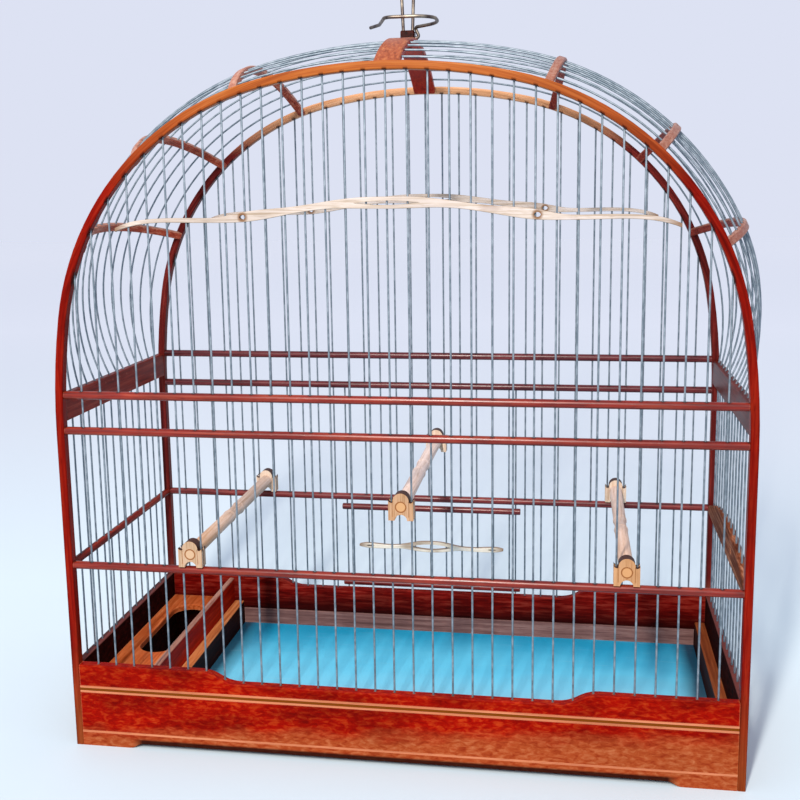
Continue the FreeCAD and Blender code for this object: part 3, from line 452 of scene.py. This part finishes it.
# Varnished laths with painted light: tan from above and towards the front, still red from below.
for side, (under_tones, lit_top_tones) in roof_tones_with_light.items():
    roof_lath = lit_top_two_tone("painted-light roof lath " + side, under_tones, lit_top_tones, lit_top_tones[2],
                           lath_looks, front_light_share=roof_front_light)
    dress(roof_lath, *[f"{side}_{place}_lath" for place in ("high", "middle", "low")])
dress(lit_top_two_tone("painted-light crown board", ("#841200", "#aa1e04", "#be3c1a"),
                 ("#70341c", "#904a2c", "#a8683f"), "#b88868", lath_looks), "crown_board")

# %% [markdown]
# ## The base
# The base boards are a figured red hardwood, like mahogany cut through a ripple, so short flecks
# lie over slow clouds and the colour runs from wine to orange. On the front board three marks are
# drawn: a brown strip lies between the paired pale ones, a painted pinkish reflection of the floor
# lies low down and to the right, and a painted shadow blackens the lower edge between the feet.
# All three are masks on the height and the place along the board.

# %% Painted reflection on the front board
base_looks = dict(grain_mm=2.8, run_mm=7.0, cloud_mm=20.0, cloud=0.6, roughness=0.45, gloss=0.03,
                  coat=0.0, steps=(0.36, 0.5, 0.66))
base_tones = ("#780500", "#900b00", "#a4320e")
# the painted reflection of the floor: its tones, how far it reaches, and its ragged edge
reflection_tones, reflection_share = ("#802b10", "#964722", "#a86540"), 0.8
reflection_height, reflection_slope = 14.0 * MM, 0.055   # of its edge at the middle, and the rise to the right
reflection_ragged, reflection_soft = 22.0 * MM, 7.0 * MM
blot_mm, blot_run_mm = 9.0, 26.0


# A painted reflection of the pale floor, pinkish, low on the board and rising to the right.
def with_painted_reflection(tree, place, grain, red):
    x, _, z = add(tree, "ShaderNodeSeparateXYZ", {0: place}).outputs
    edge = add(tree, "ShaderNodeMath", {0: x, 1: reflection_slope, 2: reflection_height},
               operation="MULTIPLY_ADD")
    wide = add(tree, "ShaderNodeMapping",
               {"Vector": place, "Scale": grain_scale(ALONG_X, blot_mm, blot_run_mm)})
    blots = add(tree, "ShaderNodeTexNoise",
                {"Vector": wide.outputs[0], "Scale": 1.0, "Detail": 5.0})
    ragged = add(tree, "ShaderNodeMath",
                 {0: blots.outputs["Fac"], 1: reflection_ragged, 2: edge.outputs[0]},
                 operation="MULTIPLY_ADD")
    below = add(tree, "ShaderNodeMath", {0: ragged.outputs[0], 1: z}, operation="SUBTRACT")
    dull_and_painted_sheen = add(tree, "ShaderNodeMapRange", {"Value": below.outputs[0], "From Min": -reflection_soft,
                                            "From Max": reflection_soft, "To Max": reflection_share})
    reflection_tint = add(tree, "ShaderNodeValToRGB", {"Fac": grain}, stops=zip(GRAIN_STEPS, reflection_tones))
    return add(tree, "ShaderNodeMix", {0: dull_and_painted_sheen.outputs[0], 6: red, 7: reflection_tint.outputs[0]}).outputs[2]


# the painted reflection reaches this high at the middle
print("dull up to mm at the middle", round(reflection_height / MM))

# %% Painted shadow between the feet
relief, shadow_line_height = 4.0 * MM, 4.4 * MM     # of the cut between the feet, and of the line over it
shadow_line_core, shadow_line_share, shadow_line_tone = 0.6 * shadow_line_height, 0.92, "#120304"
between_feet, foot_soft = arch_half_width - 52.0 * MM, 4.0 * MM


# A painted shadow: the lowest few mm of the board between the feet go nearly black.
def with_painted_shadow_line(tree, place, colour):
    x, _, z = add(tree, "ShaderNodeSeparateXYZ", {0: place}).outputs
    low = add(tree, "ShaderNodeMapRange",
              {"Value": z, "From Min": relief + shadow_line_height, "From Max": relief + shadow_line_core,
               "To Max": shadow_line_share})
    aside = add(tree, "ShaderNodeMath", {0: x}, operation="ABSOLUTE")
    middle = add(tree, "ShaderNodeMapRange",
                 {"Value": aside.outputs[0], "From Min": between_feet + foot_soft,
                  "From Max": between_feet - foot_soft})
    painted_shade = add(tree, "ShaderNodeMath", {0: low.outputs[0], 1: middle.outputs[0]},
               operation="MULTIPLY")
    shade_painted = add(tree, "ShaderNodeMix", {0: painted_shade.outputs[0], 6: colour, 7: linear(shadow_line_tone)})
    return shade_painted.outputs[2]


print("feet in mm from the middle", round(between_feet / MM))

# %% Front board
inlay_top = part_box("front_inlays")[1].z
strip_height, strip_half, strip_tone = inlay_top - 2.7 * MM, 1.2 * MM, "#6a3508"


def figured_front():
    material, grain, red = wood("varnished mahogany front", base_tones, worn="#d08a60",
                                axis=ALONG_X, **base_looks)
    tree = material.node_tree
    place = add(tree, "ShaderNodeTexCoord").outputs["Object"]
    reflected_red = with_painted_reflection(tree, place, grain, red)
    z = add(tree, "ShaderNodeSeparateXYZ", {0: place}).outputs[2]
    strip = add(tree, "ShaderNodeMath", {0: z, 1: strip_height, 2: strip_half}, operation="COMPARE")
    banded = add(tree, "ShaderNodeMix", {0: strip.outputs[0], 6: reflected_red, 7: linear(strip_tone)})
    repaint(tree, with_painted_shadow_line(tree, place, banded.outputs[2]))
    return material


# Rippled mahogany under varnish: wine-red flecks, with a painted pinkish reflection towards the
# foot and a painted shadow along the lower edge.
dress(figured_front(), "front_board")

# %% Pale strips let into the front board
pale_looks = dict(grain_mm=1.5, run_mm=70.0, cloud_mm=40.0, cloud=0.15, roughness=0.4, gloss=0.3,
                  coat=0.1)

# Pale veneer under varnish: thin bright lines along the board.
dress(wood("inlaid pale strip", ("#a05735", "#b86b44", "#c87f5a"), worn="#c87f5a",
           axis=ALONG_X, **pale_looks)[0], "front_inlays")

# %% [markdown]
# The sides of the base are varnished outside as the front is, and painted nearly black inside as
# shade, where the surface is also duller, with a grey-brown top. Each side board tells its faces by
# the way they point. Inside the back board, a painted shade darkens a line above the tray's strip,
# which only a mask on the height gives at the right place.

# %% Sides of the base
inside_shade_tones, inner_roughness = ("#0e0100", "#220402", "#380c08"), 0.9
top_face_tone, top_face_share = "#5a3430", 0.85
turned_from, turned_full = 0.3, 0.7          # of the normal, where a face counts as turned one way


# The inside faces are painted nearly black: painted shade.
def shaded_inside(name, inwards):
    material, grain, outer = wood(name, base_tones, worn="#7a4030", axis=ALONG_Y, **base_looks)
    tree = material.node_tree
    inner = add(tree, "ShaderNodeValToRGB", {"Fac": grain}, stops=zip(GRAIN_STEPS, inside_shade_tones))
    facing = add(tree, "ShaderNodeTexCoord").outputs["Normal"]
    sideways, _, upwards = add(tree, "ShaderNodeSeparateXYZ", {0: facing}).outputs
    inside = add(tree, "ShaderNodeMapRange",
                 {"Value": sideways, "From Min": turned_from * inwards,
                  "From Max": turned_full * inwards})
    sided = add(tree, "ShaderNodeMix", {0: inside.outputs[0], 6: outer, 7: inner.outputs[0]})
    top = add(tree, "ShaderNodeMapRange", {"Value": upwards, "From Min": turned_from,
                                           "From Max": turned_full, "To Max": top_face_share})
    colour = add(tree, "ShaderNodeMix",
                 {0: top.outputs[0], 6: sided.outputs[2], 7: linear(top_face_tone)})
    repaint(tree, colour.outputs[2])
    dull_and_painted_sheen = add(tree, "ShaderNodeMapRange",
               {"Value": inside.outputs[0], "To Min": base_looks["roughness"],
                "To Max": inner_roughness})
    tree.links.new(dull_and_painted_sheen.outputs[0], tree.nodes["Principled BSDF"].inputs["Roughness"])
    return material


# Mahogany: a soft red outside, and a dull inside painted black-brown as shade.
dress(shaded_inside("varnished mahogany left side", inwards=1), "left_board")
dress(shaded_inside("varnished mahogany right side", inwards=-1), "right_board")

# %% Back of the base
back_looks = dict(base_looks, run_mm=28.0)
back_tones = ("#500503", "#750d08", "#953327")
back_shade_from, back_shade_full, back_shade_share, back_shade_tone = 58.0 * MM, 36.0 * MM, 0.9, "#1a0302"


# A painted shade darkens the inside of the back board low down, above the tray's strip.
def back_with_painted_shade():
    material, _, red = wood("varnished mahogany back", back_tones, worn="#7a4030",
                            axis=ALONG_X, **back_looks)
    tree = material.node_tree
    source = add(tree, "ShaderNodeTexCoord")
    z = add(tree, "ShaderNodeSeparateXYZ", {0: source.outputs["Object"]}).outputs[2]
    low = add(tree, "ShaderNodeMapRange", {"Value": z, "From Min": back_shade_from,
                                           "From Max": back_shade_full, "To Max": back_shade_share})
    facing = add(tree, "ShaderNodeSeparateXYZ", {0: source.outputs["Normal"]}).outputs[1]
    inside = add(tree, "ShaderNodeMapRange",
                 {"Value": facing, "From Min": -turned_from, "From Max": -turned_full})
    painted_shade = add(tree, "ShaderNodeMath", {0: low.outputs[0], 1: inside.outputs[0]},
               operation="MULTIPLY")
    colour = add(tree, "ShaderNodeMix", {0: painted_shade.outputs[0], 6: red, 7: linear(back_shade_tone)})
    repaint(tree, colour.outputs[2])
    return material


# Mahogany with longer streaks: wine-red, with painted shade going nearly black towards the tray.
dress(back_with_painted_shade(), "back_board")

# %% [markdown]
# The feeder shelf, the divider beside it and the two guides that the tray slides on are softwood,
# varnished orange. Light is painted into their tones: the guides get lit tops over sides painted
# nearly black as shade, the right guide is a darker copy in painted shade, the divider has a
# painted lit tan top over red sides, and the shelf is given brighter tones as painted light against
# the shade of the walls. The strip behind the tray is dusty. A layer of dust could be modelled over
# it, but from here a greyer stain with hardly any gloss looks the same.

# %% Feeder shelf, divider, guides and tray strip
pine_looks = dict(grain_mm=2.8, run_mm=60.0, cloud_mm=30.0, cloud=0.4, roughness=0.5, gloss=0.04,
                  coat=0.0)
guide_sides_in_shade = ("#1a0806", "#2e0f0a", "#4a1c10")

# Knot-free pine under thin varnish: broad soft streaks, in bright orange tones raised as painted
# light.
dress(wood("orange varnished pine", ("#8a3a14", "#b8582a", "#cc7848"), worn="#d09468",
           axis=ALONG_Y, **pine_looks)[0], "feeder_board")
# The guides: lit tops over sides painted nearly black as shade; the right one is a darker copy in
# painted shade.
dress(lit_top_two_tone("varnished pine guide", guide_sides_in_shade, ("#8a4622", "#b66a3c", "#cc8858"), "#b87c54",
                 pine_looks), "left_tray_guide")
dress(lit_top_two_tone("varnished pine guide in painted shade", guide_sides_in_shade, ("#5a2410", "#7c3c1e", "#965632"),
                 "#8a5434", pine_looks), "right_tray_guide")
# The same pine: red sides under a tan top painted as lit.
dress(lit_top_two_tone("tan topped pine", ("#7c0c00", "#ae1604", "#c63414"),
                 ("#7c4c3e", "#9c6c5c", "#b08876"), "#a07060", pine_looks), "feeder_divider")
# Cedar whose varnish is covered by dust: greyish pink and without shine.
dress(wood("dusty varnished cedar", ("#5e4240", "#7e5c58", "#967670"), worn="#9a8078",
           axis=ALONG_X, **pine_looks)[0], "tray_strip")

# %% [markdown]
# ## The tray
# The tray is a hardboard sheet faced with turquoise laminate, pressed smooth, so it is one colour
# with a soft gloss. Use has clouded it and it carries fine scratches. Light is painted on it too:
# it is darker towards the back and lighter towards the front, and painted shade darkens both ends
# beside the guides. Real scratches are thinner than a tenth of a millimetre; these are drawn 0.8
# mm wide to show at all.

# %% Painted shade at the ends, and scratches of the tray
tray_low, tray_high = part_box("tray_sheet")
tray_middle, tray_half = (tray_low.x + tray_high.x) / 2, (tray_high.x - tray_low.x) / 2
end_shade_width, end_shade_full, end_shade_ragged = 17.0 * MM, 2.0 * MM, 8.0 * MM
end_shade_share, end_shade_tone = 0.9, "#06243c"
scratch_mm, scratch_run_mm, scratch_turn_deg = 0.8, 45.0, 24.0
scratch_from, scratch_full, scratch_share, scratch_tone = 0.66, 0.74, 0.35, "#9cc8d4"


# Painted shade darkens both ends of the tray, beside the guides.
def with_painted_end_shade(tree, place, clouds, tint):
    x = add(tree, "ShaderNodeSeparateXYZ", {0: place}).outputs[0]
    across = add(tree, "ShaderNodeMath", {0: x, 1: tray_middle}, operation="SUBTRACT")
    aside = add(tree, "ShaderNodeMath", {0: across.outputs[0]}, operation="ABSOLUTE")
    smudged = add(tree, "ShaderNodeMath", {0: clouds, 1: end_shade_ragged, 2: aside.outputs[0]},
                  operation="MULTIPLY_ADD")
    end_shade = add(tree, "ShaderNodeMapRange",
                {"Value": smudged.outputs[0], "From Min": tray_half - end_shade_width,
                 "From Max": tray_half - end_shade_full, "To Max": end_shade_share})
    shade_painted = add(tree, "ShaderNodeMix", {0: end_shade.outputs[0], 6: tint, 7: linear(end_shade_tone)})
    return shade_painted.outputs[2]


def with_scratches(tree, place, colour):
    turn = (0.0, 0.0, math.radians(scratch_turn_deg))
    slant = add(tree, "ShaderNodeMapping",
                {"Vector": place, "Rotation": turn,
                 "Scale": grain_scale(ALONG_X, scratch_mm, scratch_run_mm)})
    marks = add(tree, "ShaderNodeTexNoise",
                {"Vector": slant.outputs[0], "Scale": 1.0, "Detail": 2.0, "Distortion": 0.6})
    scratch = add(tree, "ShaderNodeMapRange",
                  {"Value": marks.outputs["Fac"], "From Min": scratch_from,
                   "From Max": scratch_full, "To Max": scratch_share})
    scratched = add(tree, "ShaderNodeMix",
                    {0: scratch.outputs[0], 6: colour, 7: linear(scratch_tone)})
    return scratched.outputs[2]


print("tray half width in mm", round(tray_half / MM, 1))

# %% Tray laminate
cloudy_mm, cloudy_run_mm, cloudy_share = 60.0, 110.0, 0.5
# tones from painted shade at the back to painted light in front
tray_shade_to_light_stops = ((0.3, "#0c9ac4"), (0.62, "#5cc2e2"), (1.0, "#76b6ce"))
smooth_roughness, wiped_roughness = 0.3, 0.5


def laminate():
    material, tree, shader = new_material("turquoise laminate", IOR=1.5, Specular_IOR_Level=0.3)
    place = add(tree, "ShaderNodeTexCoord").outputs["Object"]
    y = add(tree, "ShaderNodeSeparateXYZ", {0: place}).outputs[1]
    tray_front_light = add(tree, "ShaderNodeMapRange",
               {"Value": y, "From Min": tray_high.y, "From Max": tray_low.y})
    wide = add(tree, "ShaderNodeMapping",
               {"Vector": place, "Scale": grain_scale(ALONG_X, cloudy_mm, cloudy_run_mm)})
    clouds = add(tree, "ShaderNodeTexNoise",
                 {"Vector": wide.outputs[0], "Scale": 1.0, "Detail": 5.0}).outputs["Fac"]
    lit_and_clouded = add(tree, "ShaderNodeMath", {0: clouds, 1: cloudy_share, 2: tray_front_light.outputs[0]},
                operation="MULTIPLY_ADD")
    tint = add(tree, "ShaderNodeValToRGB", {"Fac": lit_and_clouded.outputs[0]}, stops=tray_shade_to_light_stops)
    shade_painted = with_painted_end_shade(tree, place, clouds, tint.outputs[0])
    repaint(tree, with_scratches(tree, place, shade_painted))
    worn = add(tree, "ShaderNodeMapRange", {"Value": clouds, "To Min": smooth_roughness,
                                            "To Max": wiped_roughness})
    tree.links.new(worn.outputs[0], shader.inputs["Roughness"])
    return material


# Pressed laminate: an even turquoise with a soft gloss, clouded and scratched by use, under painted
# shade at the back and ends.
dress(laminate(), "tray_sheet")

# %% [markdown]
# ## Wire
# The wires are drawn steel with a dull zinc skin. Zinc is a metal with a soft blue-grey shine, so
# it is fully metallic and rather rough. Handling breaks the skin into paler and darker patches
# some 6 mm long. The hook is thicker bare wire that has browned, with brass-coloured spots where
# it rubs.

# %% Steel wire
skin_from, skin_full = 0.4, 0.65
duller_below, duller_above = 0.1, 0.12       # the roughness wanders this far with the patches


def drawn_wire(name, tone, worn_tone, patch_mm, roughness):
    material, tree, shader = new_material(name, Metallic=1.0)
    place = add(tree, "ShaderNodeTexCoord").outputs["Object"]
    size = add(tree, "ShaderNodeMapping",
               {"Vector": place, "Scale": grain_scale(ALONG_Z, patch_mm, patch_mm)})
    spots = add(tree, "ShaderNodeTexNoise",
                {"Vector": size.outputs[0], "Scale": 1.0, "Detail": 4.0}).outputs["Fac"]
    skin = add(tree, "ShaderNodeValToRGB", {"Fac": spots},
               stops=((skin_from, tone), (skin_full, worn_tone)))
    repaint(tree, skin.outputs[0])
    dull_and_painted_sheen = add(tree, "ShaderNodeMapRange", {"Value": spots, "To Min": roughness - duller_below,
                                            "To Max": roughness + duller_above})
    tree.links.new(dull_and_painted_sheen.outputs[0], shader.inputs["Roughness"])
    return material


# Galvanised wire: a patchy blue-grey that shines softly and never sparkles.
dress(drawn_wire("zinc-coated wire", "#75828c", "#99a4ad", patch_mm=6.0, roughness=0.6),
      "front_wires", "back_wires", "left_wall_wires", "right_wall_wires", "roof_wires",
      "door_wires", "door_guides")
# Bare wire browned by hands: darker, with brassy spots and a sharper shine.
dress(drawn_wire("browned hook wire", "#524846", "#948a7c", patch_mm=9.0, roughness=0.45),
      "hanger_eye", "hanger_tail", "hanger_pin")

# %% [markdown]
# ## Bare wood: slats, perches and saddles
# The fretted slats and the perches are pale wood, sanded and left nearly bare, so they have no
# coat and little gloss. The fretsaw left the slats' cut edges brown, a brown ring round each small
# hole is partly scorch from the drill and partly painted shade in the hole, and fingers have
# stained them in places and at the tips. Faces that don't point to the front or back are the cut
# edges, and the distance from a hole's centre gives the ring.

# %% Marks on a slat
hole_aside, hole_height = 106.0 * MM, 419.8 * MM      # of the two small holes in a long slat
# a brown ring round each hole: partly scorch, partly painted shade in the hole
burn_from, burn_full, burn_share = 4.6 * MM, 2.6 * MM, 0.9
tip_length, tip_share = 12.0 * MM, 0.85
stain_mm, stain_run_mm = 24.0, 40.0
stain_from, stain_full, stain_share = 0.58, 0.74, 0.6
sawn_from, sawn_full, sawn_share = 0.6, 0.2, 0.75     # of the normal's part to front or back


def scorch_and_tips(tree, place, tip_x):
    x, _, z = add(tree, "ShaderNodeSeparateXYZ", {0: place}).outputs
    out = add(tree, "ShaderNodeMath", {0: x}, operation="ABSOLUTE").outputs[0]
    aside = add(tree, "ShaderNodeMath", {0: out, 1: hole_aside}, operation="SUBTRACT")
    over = add(tree, "ShaderNodeMath", {0: z, 1: hole_height}, operation="SUBTRACT")
    offset = add(tree, "ShaderNodeCombineXYZ", {0: aside.outputs[0], 2: over.outputs[0]})
    reach = add(tree, "ShaderNodeVectorMath", {0: offset.outputs[0]}, operation="LENGTH")
    burn = add(tree, "ShaderNodeMapRange", {"Value": reach.outputs["Value"],
                                            "From Min": burn_from, "From Max": burn_full,
                                            "To Max": burn_share})
    tip = add(tree, "ShaderNodeMapRange", {"Value": out, "From Min": tip_x - tip_length,
                                           "From Max": tip_x, "To Max": tip_share})
    return add(tree, "ShaderNodeMath", {0: tip.outputs[0], 1: burn.outputs[0]},
               operation="MAXIMUM").outputs[0]


def stains_and_cuts(tree, place, normal):
    size = add(tree, "ShaderNodeMapping",
               {"Vector": place, "Scale": grain_scale(ALONG_X, stain_mm, stain_run_mm)})
    spots = add(tree, "ShaderNodeTexNoise",
                {"Vector": size.outputs[0], "Scale": 1.0, "Detail": 3.0})
    stain = add(tree, "ShaderNodeMapRange",
                {"Value": spots.outputs["Fac"], "From Min": stain_from, "From Max": stain_full,
                 "To Max": stain_share})
    facing = add(tree, "ShaderNodeSeparateXYZ", {0: normal}).outputs[1]
    frontal = add(tree, "ShaderNodeMath", {0: facing}, operation="ABSOLUTE")
    sawn = add(tree, "ShaderNodeMapRange", {"Value": frontal.outputs[0], "From Min": sawn_from,
                                            "From Max": sawn_full, "To Max": sawn_share})
    return add(tree, "ShaderNodeMath", {0: stain.outputs[0], 1: sawn.outputs[0]},
               operation="MAXIMUM").outputs[0]


print("scorched ring in mm", round(burn_from / MM, 1))

# %% Slats
bare_looks = dict(grain_mm=1.8, run_mm=50.0, cloud_mm=26.0, cloud=0.3, roughness=0.55, gloss=0.2,
                  coat=0.0)
# Lit and shaded copies: the slats in full light get darker tones, and the door slat in the shade
# gets paler ones, painted light.
lit_tones = ("#9a8a78", "#b8ada3", "#c6bebc")
door_painted_light_tones = ("#d2c6ae", "#f0e8d8", "#f6f0e6")
brown_tone = "#6a4626"


def stained_slat(name, piece, tones):
    material, _, pale = wood(name, tones, worn="#a08a64", axis=ALONG_X, **bare_looks)
    tree = material.node_tree
    source = add(tree, "ShaderNodeTexCoord")
    marked = scorch_and_tips(tree, source.outputs["Object"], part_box(piece)[1].x)
    handled = stains_and_cuts(tree, source.outputs["Object"], source.outputs["Normal"])
    brown = add(tree, "ShaderNodeMath", {0: marked, 1: handled}, operation="MAXIMUM")
    colour = add(tree, "ShaderNodeMix", {0: brown.outputs[0], 6: pale, 7: linear(brown_tone)})
    repaint(tree, colour.outputs[2])
    return material


# Bare fretted wood: a nearly white face between brown cut edges.
for piece, tones in (("front_slat", lit_tones), ("back_slat", lit_tones),
                     ("door_slat", door_painted_light_tones)):
    dress(stained_slat("fretted pale wood of the " + piece.replace("_", " "), piece, tones), piece)

# %% [markdown]
# A perch is a turned rod. Its ends show end grain, which soaks up more oil than the sides, so
# they are darker, with a thin brown ring where the saddle's hole grips them. The distance from
# the rod's own axis draws the ring. Towards the front saddles the rods are painted orange, a
# painted warm light thrown back from the saddles, most of all on the left one.

# %% Perches
perch_tones = {"left": ("#b4947c", "#d6baa6", "#e2cec2"),
               "centre": ("#c8ac9a", "#ead4c8", "#f2e2dc"),
               "right": ("#be9e88", "#e0c4b2", "#ead6ca")}
end_tones = {"left": "#b6987a", "centre": "#b48a60", "right": "#b4865a"}
ring_from, ring_full, ring_tone = 3.1 * MM, 3.7 * MM, "#7e4c22"
end_from, end_full = 0.8, 0.95               # of the normal's part along the rod
# the rods are painted orange towards the front: painted bounced light
bounce_from, bounce_full, bounce_tone = -20.0 * MM, -90.0 * MM, "#b27c40"
bounce_shares = {"left": 0.5, "centre": 0.08, "right": 0.25}


def turned_perch(name, piece, tones, bounce_share, end_tone):
    material, _, side = wood(name, tones, worn="#d8c4b4", axis=ALONG_Y, **bare_looks)
    tree = material.node_tree
    low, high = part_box(piece)
    middle = (low + high) / 2
    source = add(tree, "ShaderNodeTexCoord")
    flat = add(tree, "ShaderNodeMapping",
               {"Vector": source.outputs["Object"], "Scale": (1.0, 0.0, 1.0),
                "Location": (-middle.x, 0.0, -middle.z)})
    reach = add(tree, "ShaderNodeVectorMath", {0: flat.outputs[0]}, operation="LENGTH")
    ring = add(tree, "ShaderNodeMapRange", {"Value": reach.outputs["Value"],
                                            "From Min": ring_from, "From Max": ring_full})
    sawn = add(tree, "ShaderNodeMix",
               {0: ring.outputs[0], 6: linear(end_tone), 7: linear(ring_tone)})
    facing = add(tree, "ShaderNodeSeparateXYZ", {0: source.outputs["Normal"]}).outputs[1]
    frontal = add(tree, "ShaderNodeMath", {0: facing}, operation="ABSOLUTE")
    end = add(tree, "ShaderNodeMapRange",
              {"Value": frontal.outputs[0], "From Min": end_from, "From Max": end_full})
    y = add(tree, "ShaderNodeSeparateXYZ", {0: source.outputs["Object"]}).outputs[1]
    bounce_light = add(tree, "ShaderNodeMapRange", {"Value": y, "From Min": bounce_from,
                                           "From Max": bounce_full, "To Max": bounce_share})
    oiled_and_bounce_lit = add(tree, "ShaderNodeMix", {0: bounce_light.outputs[0], 6: side, 7: linear(bounce_tone)})
    colour = add(tree, "ShaderNodeMix",
                 {0: end.outputs[0], 6: oiled_and_bounce_lit.outputs[2], 7: sawn.outputs[2]})
    repaint(tree, colour.outputs[2])
    return material


# Turned and sanded wood: pale and dull along the rod, darker and ringed at its ends.
for place, tones in perch_tones.items():
    piece = place + "_perch"
    dress(turned_perch("sanded turned rod " + place, piece, tones, bounce_shares[place],
                       end_tones[place]), piece)

# %% [markdown]
# Each saddle was scorched along its domed top, which the photograph shows as a dark brown rim.
# The rim is the part that faces sideways or up rather than to the front or back, above the wings,
# so height and normal together find it. Only the outer face was oiled orange: the face to the
# inside of the cage stayed pale.

# %% Saddles
saddle_tones = {"left": ("#947656", "#b0957a", "#bea793"),
                "centre": ("#906c49", "#ab8868", "#ba997e"),
                "right": ("#986c42", "#b4885f", "#c39973")}
pale_tones = ("#b89a80", "#d0b8a2", "#dccab8")
scorch_from, scorch_full = 1.5 * MM, 3.0 * MM         # above the middle of the saddle
dome_from, dome_full = 0.7, 0.3                       # of the normal's part to front or back
turn_over, scorch_tone = 20.0 * MM, "#3a1c10"


def scorched(name, piece, tones):
    material, grain, oiled_and_bounce_lit = wood(name, tones, worn="#b88458", axis=ALONG_Z, **bare_looks)
    tree = material.node_tree
    low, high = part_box(piece)
    middle = (low.z + high.z) / 2
    source = add(tree, "ShaderNodeTexCoord")
    _, y, z = add(tree, "ShaderNodeSeparateXYZ", {0: source.outputs["Object"]}).outputs
    facing = add(tree, "ShaderNodeSeparateXYZ", {0: source.outputs["Normal"]}).outputs[1]
    pale = add(tree, "ShaderNodeValToRGB", {"Fac": grain}, stops=zip(GRAIN_STEPS, pale_tones))
    outwards = add(tree, "ShaderNodeMath", {0: y, 1: facing}, operation="MULTIPLY")
    inner = add(tree, "ShaderNodeMapRange", {"Value": outwards.outputs[0],
                                             "From Min": turn_over, "From Max": -turn_over})
    bare = add(tree, "ShaderNodeMix", {0: inner.outputs[0], 6: oiled_and_bounce_lit, 7: pale.outputs[0]})
    frontal = add(tree, "ShaderNodeMath", {0: facing}, operation="ABSOLUTE")
    dome = add(tree, "ShaderNodeMapRange",
               {"Value": frontal.outputs[0], "From Min": dome_from, "From Max": dome_full})
    top = add(tree, "ShaderNodeMapRange", {"Value": z, "From Min": middle + scorch_from,
                                           "From Max": middle + scorch_full})
    burn = add(tree, "ShaderNodeMath", {0: dome.outputs[0], 1: top.outputs[0]},
               operation="MULTIPLY")
    colour = add(tree, "ShaderNodeMix",
                 {0: burn.outputs[0], 6: bare.outputs[2], 7: linear(scorch_tone)})
    repaint(tree, colour.outputs[2])
    return material


# Oiled wood scorched on its rim: an orange face under a dark brown dome.
for place, tones in saddle_tones.items():
    piece = place + "_saddles"
    dress(scorched("scorched saddle " + place, piece, tones), piece)

# %% [markdown]
# The hanger's wires are held by a small hardwood block, dipped in dark varnish. It is too small to
# show marks of its own, so the plain wood recipe in nearly black tones is enough.

# %% Hanger block
# Hardwood under dark varnish: nearly black, with a maroon edge.
dress(wood("dark maroon block", ("#160504", "#2c0a08", "#441812"), worn="#54241a",
           axis=ALONG_Y, **lath_looks)[0], "hanger_block")

# %% [markdown]
# ## Floor and light
# The cage stands on a plain pale floor. The photograph was lit by a lamp in front, above and a
# little to the left. The shadows of the three perches on the back board spread apart, so the lamp
# is near, and they give about its place, where the lines from each shadow through its perch meet.
# From there it was moved until the shading agreed. The perches throw shadows, but the
# rails throw none on the tray. A tall, narrow lamp, like a strip soft box, does the same: it
# blurs the shadows of what lies level and keeps those of what runs to the back.
#
# The pale room lights the rest. The floor's paint gets paler away from the lamp, as much as the
# lamp's light weakens, so floor and room run into each other.

# %% Lamp
lamp_place = Vector((-150.0, -1450.0, 1260.0)) * MM
lamp_aim = Vector((0.0, 0.0, 250.0)) * MM
lamp_width, lamp_height = 90.0 * MM, 650.0 * MM
lamp_watts = 44.5

key = bpy.data.lights.new("front lamp", "AREA")
key.shape = "RECTANGLE"
key.size, key.size_y = lamp_width, lamp_height
key.energy = lamp_watts
key.color = linear("#fff6ec")[:3]
key_lamp = bpy.data.objects.new("front lamp", key)
key_lamp.location = lamp_place
key_lamp.rotation_euler = (lamp_aim - lamp_place).to_track_quat("-Z", "Y").to_euler()
bpy.context.scene.collection.objects.link(key_lamp)
print("lamp in m from the cage", round(lamp_place.length, 2))

# %% Floor paint
paint_from, paint_full = 0.5, 8.0            # in m along the floor, from under the lamp
paint_stops = ((0.0, "#939ea4"), (0.067, "#acbac2"), (0.107, "#becdd6"), (0.16, "#d1e0e6"),
               (0.267, "#e3eaee"), (0.467, "#f7f9fb"), (1.0, "#ffffff"))


def floor_paint():
    material, tree, _ = new_material("pale matt floor", Roughness=0.9, Specular_IOR_Level=0.05)
    place = add(tree, "ShaderNodeTexCoord").outputs["Object"]
    flat = add(tree, "ShaderNodeMapping",
               {"Vector": place, "Location": (-lamp_place.x, -lamp_place.y, 0.0)})
    away = add(tree, "ShaderNodeVectorMath", {0: flat.outputs[0]}, operation="LENGTH")
    share = add(tree, "ShaderNodeMapRange", {"Value": away.outputs["Value"],
                                             "From Min": paint_from, "From Max": paint_full})
    tone = add(tree, "ShaderNodeValToRGB", {"Fac": share.outputs[0]}, stops=paint_stops)
    repaint(tree, tone.outputs[0])
    return material


print("paint tones", len(paint_stops))

# %% Floor
floor_half = 8.0                             # in m
floor_mesh = bpy.data.meshes.new("floor")
shape = bmesh.new()
bmesh.ops.create_grid(shape, x_segments=1, y_segments=1, size=floor_half)
shape.to_mesh(floor_mesh)
shape.free()
floor = bpy.data.objects.new("floor", floor_mesh)
bpy.context.scene.collection.objects.link(floor)
# Matt paint: an even pale ground that mirrors nothing.
floor_mesh.materials.append(floor_paint())
print("floor in m", 2 * floor_half)

# %% Room
world = bpy.data.worlds.new("pale room")
world.use_nodes = True
sky = world.node_tree.nodes["Background"]
sky.inputs["Color"].default_value = linear("#dde2f3")
sky.inputs["Strength"].default_value = 1.0
bpy.context.scene.world = world
bpy.context.scene.view_settings.view_transform = "Standard"
print("room light", sky.inputs["Strength"].default_value)
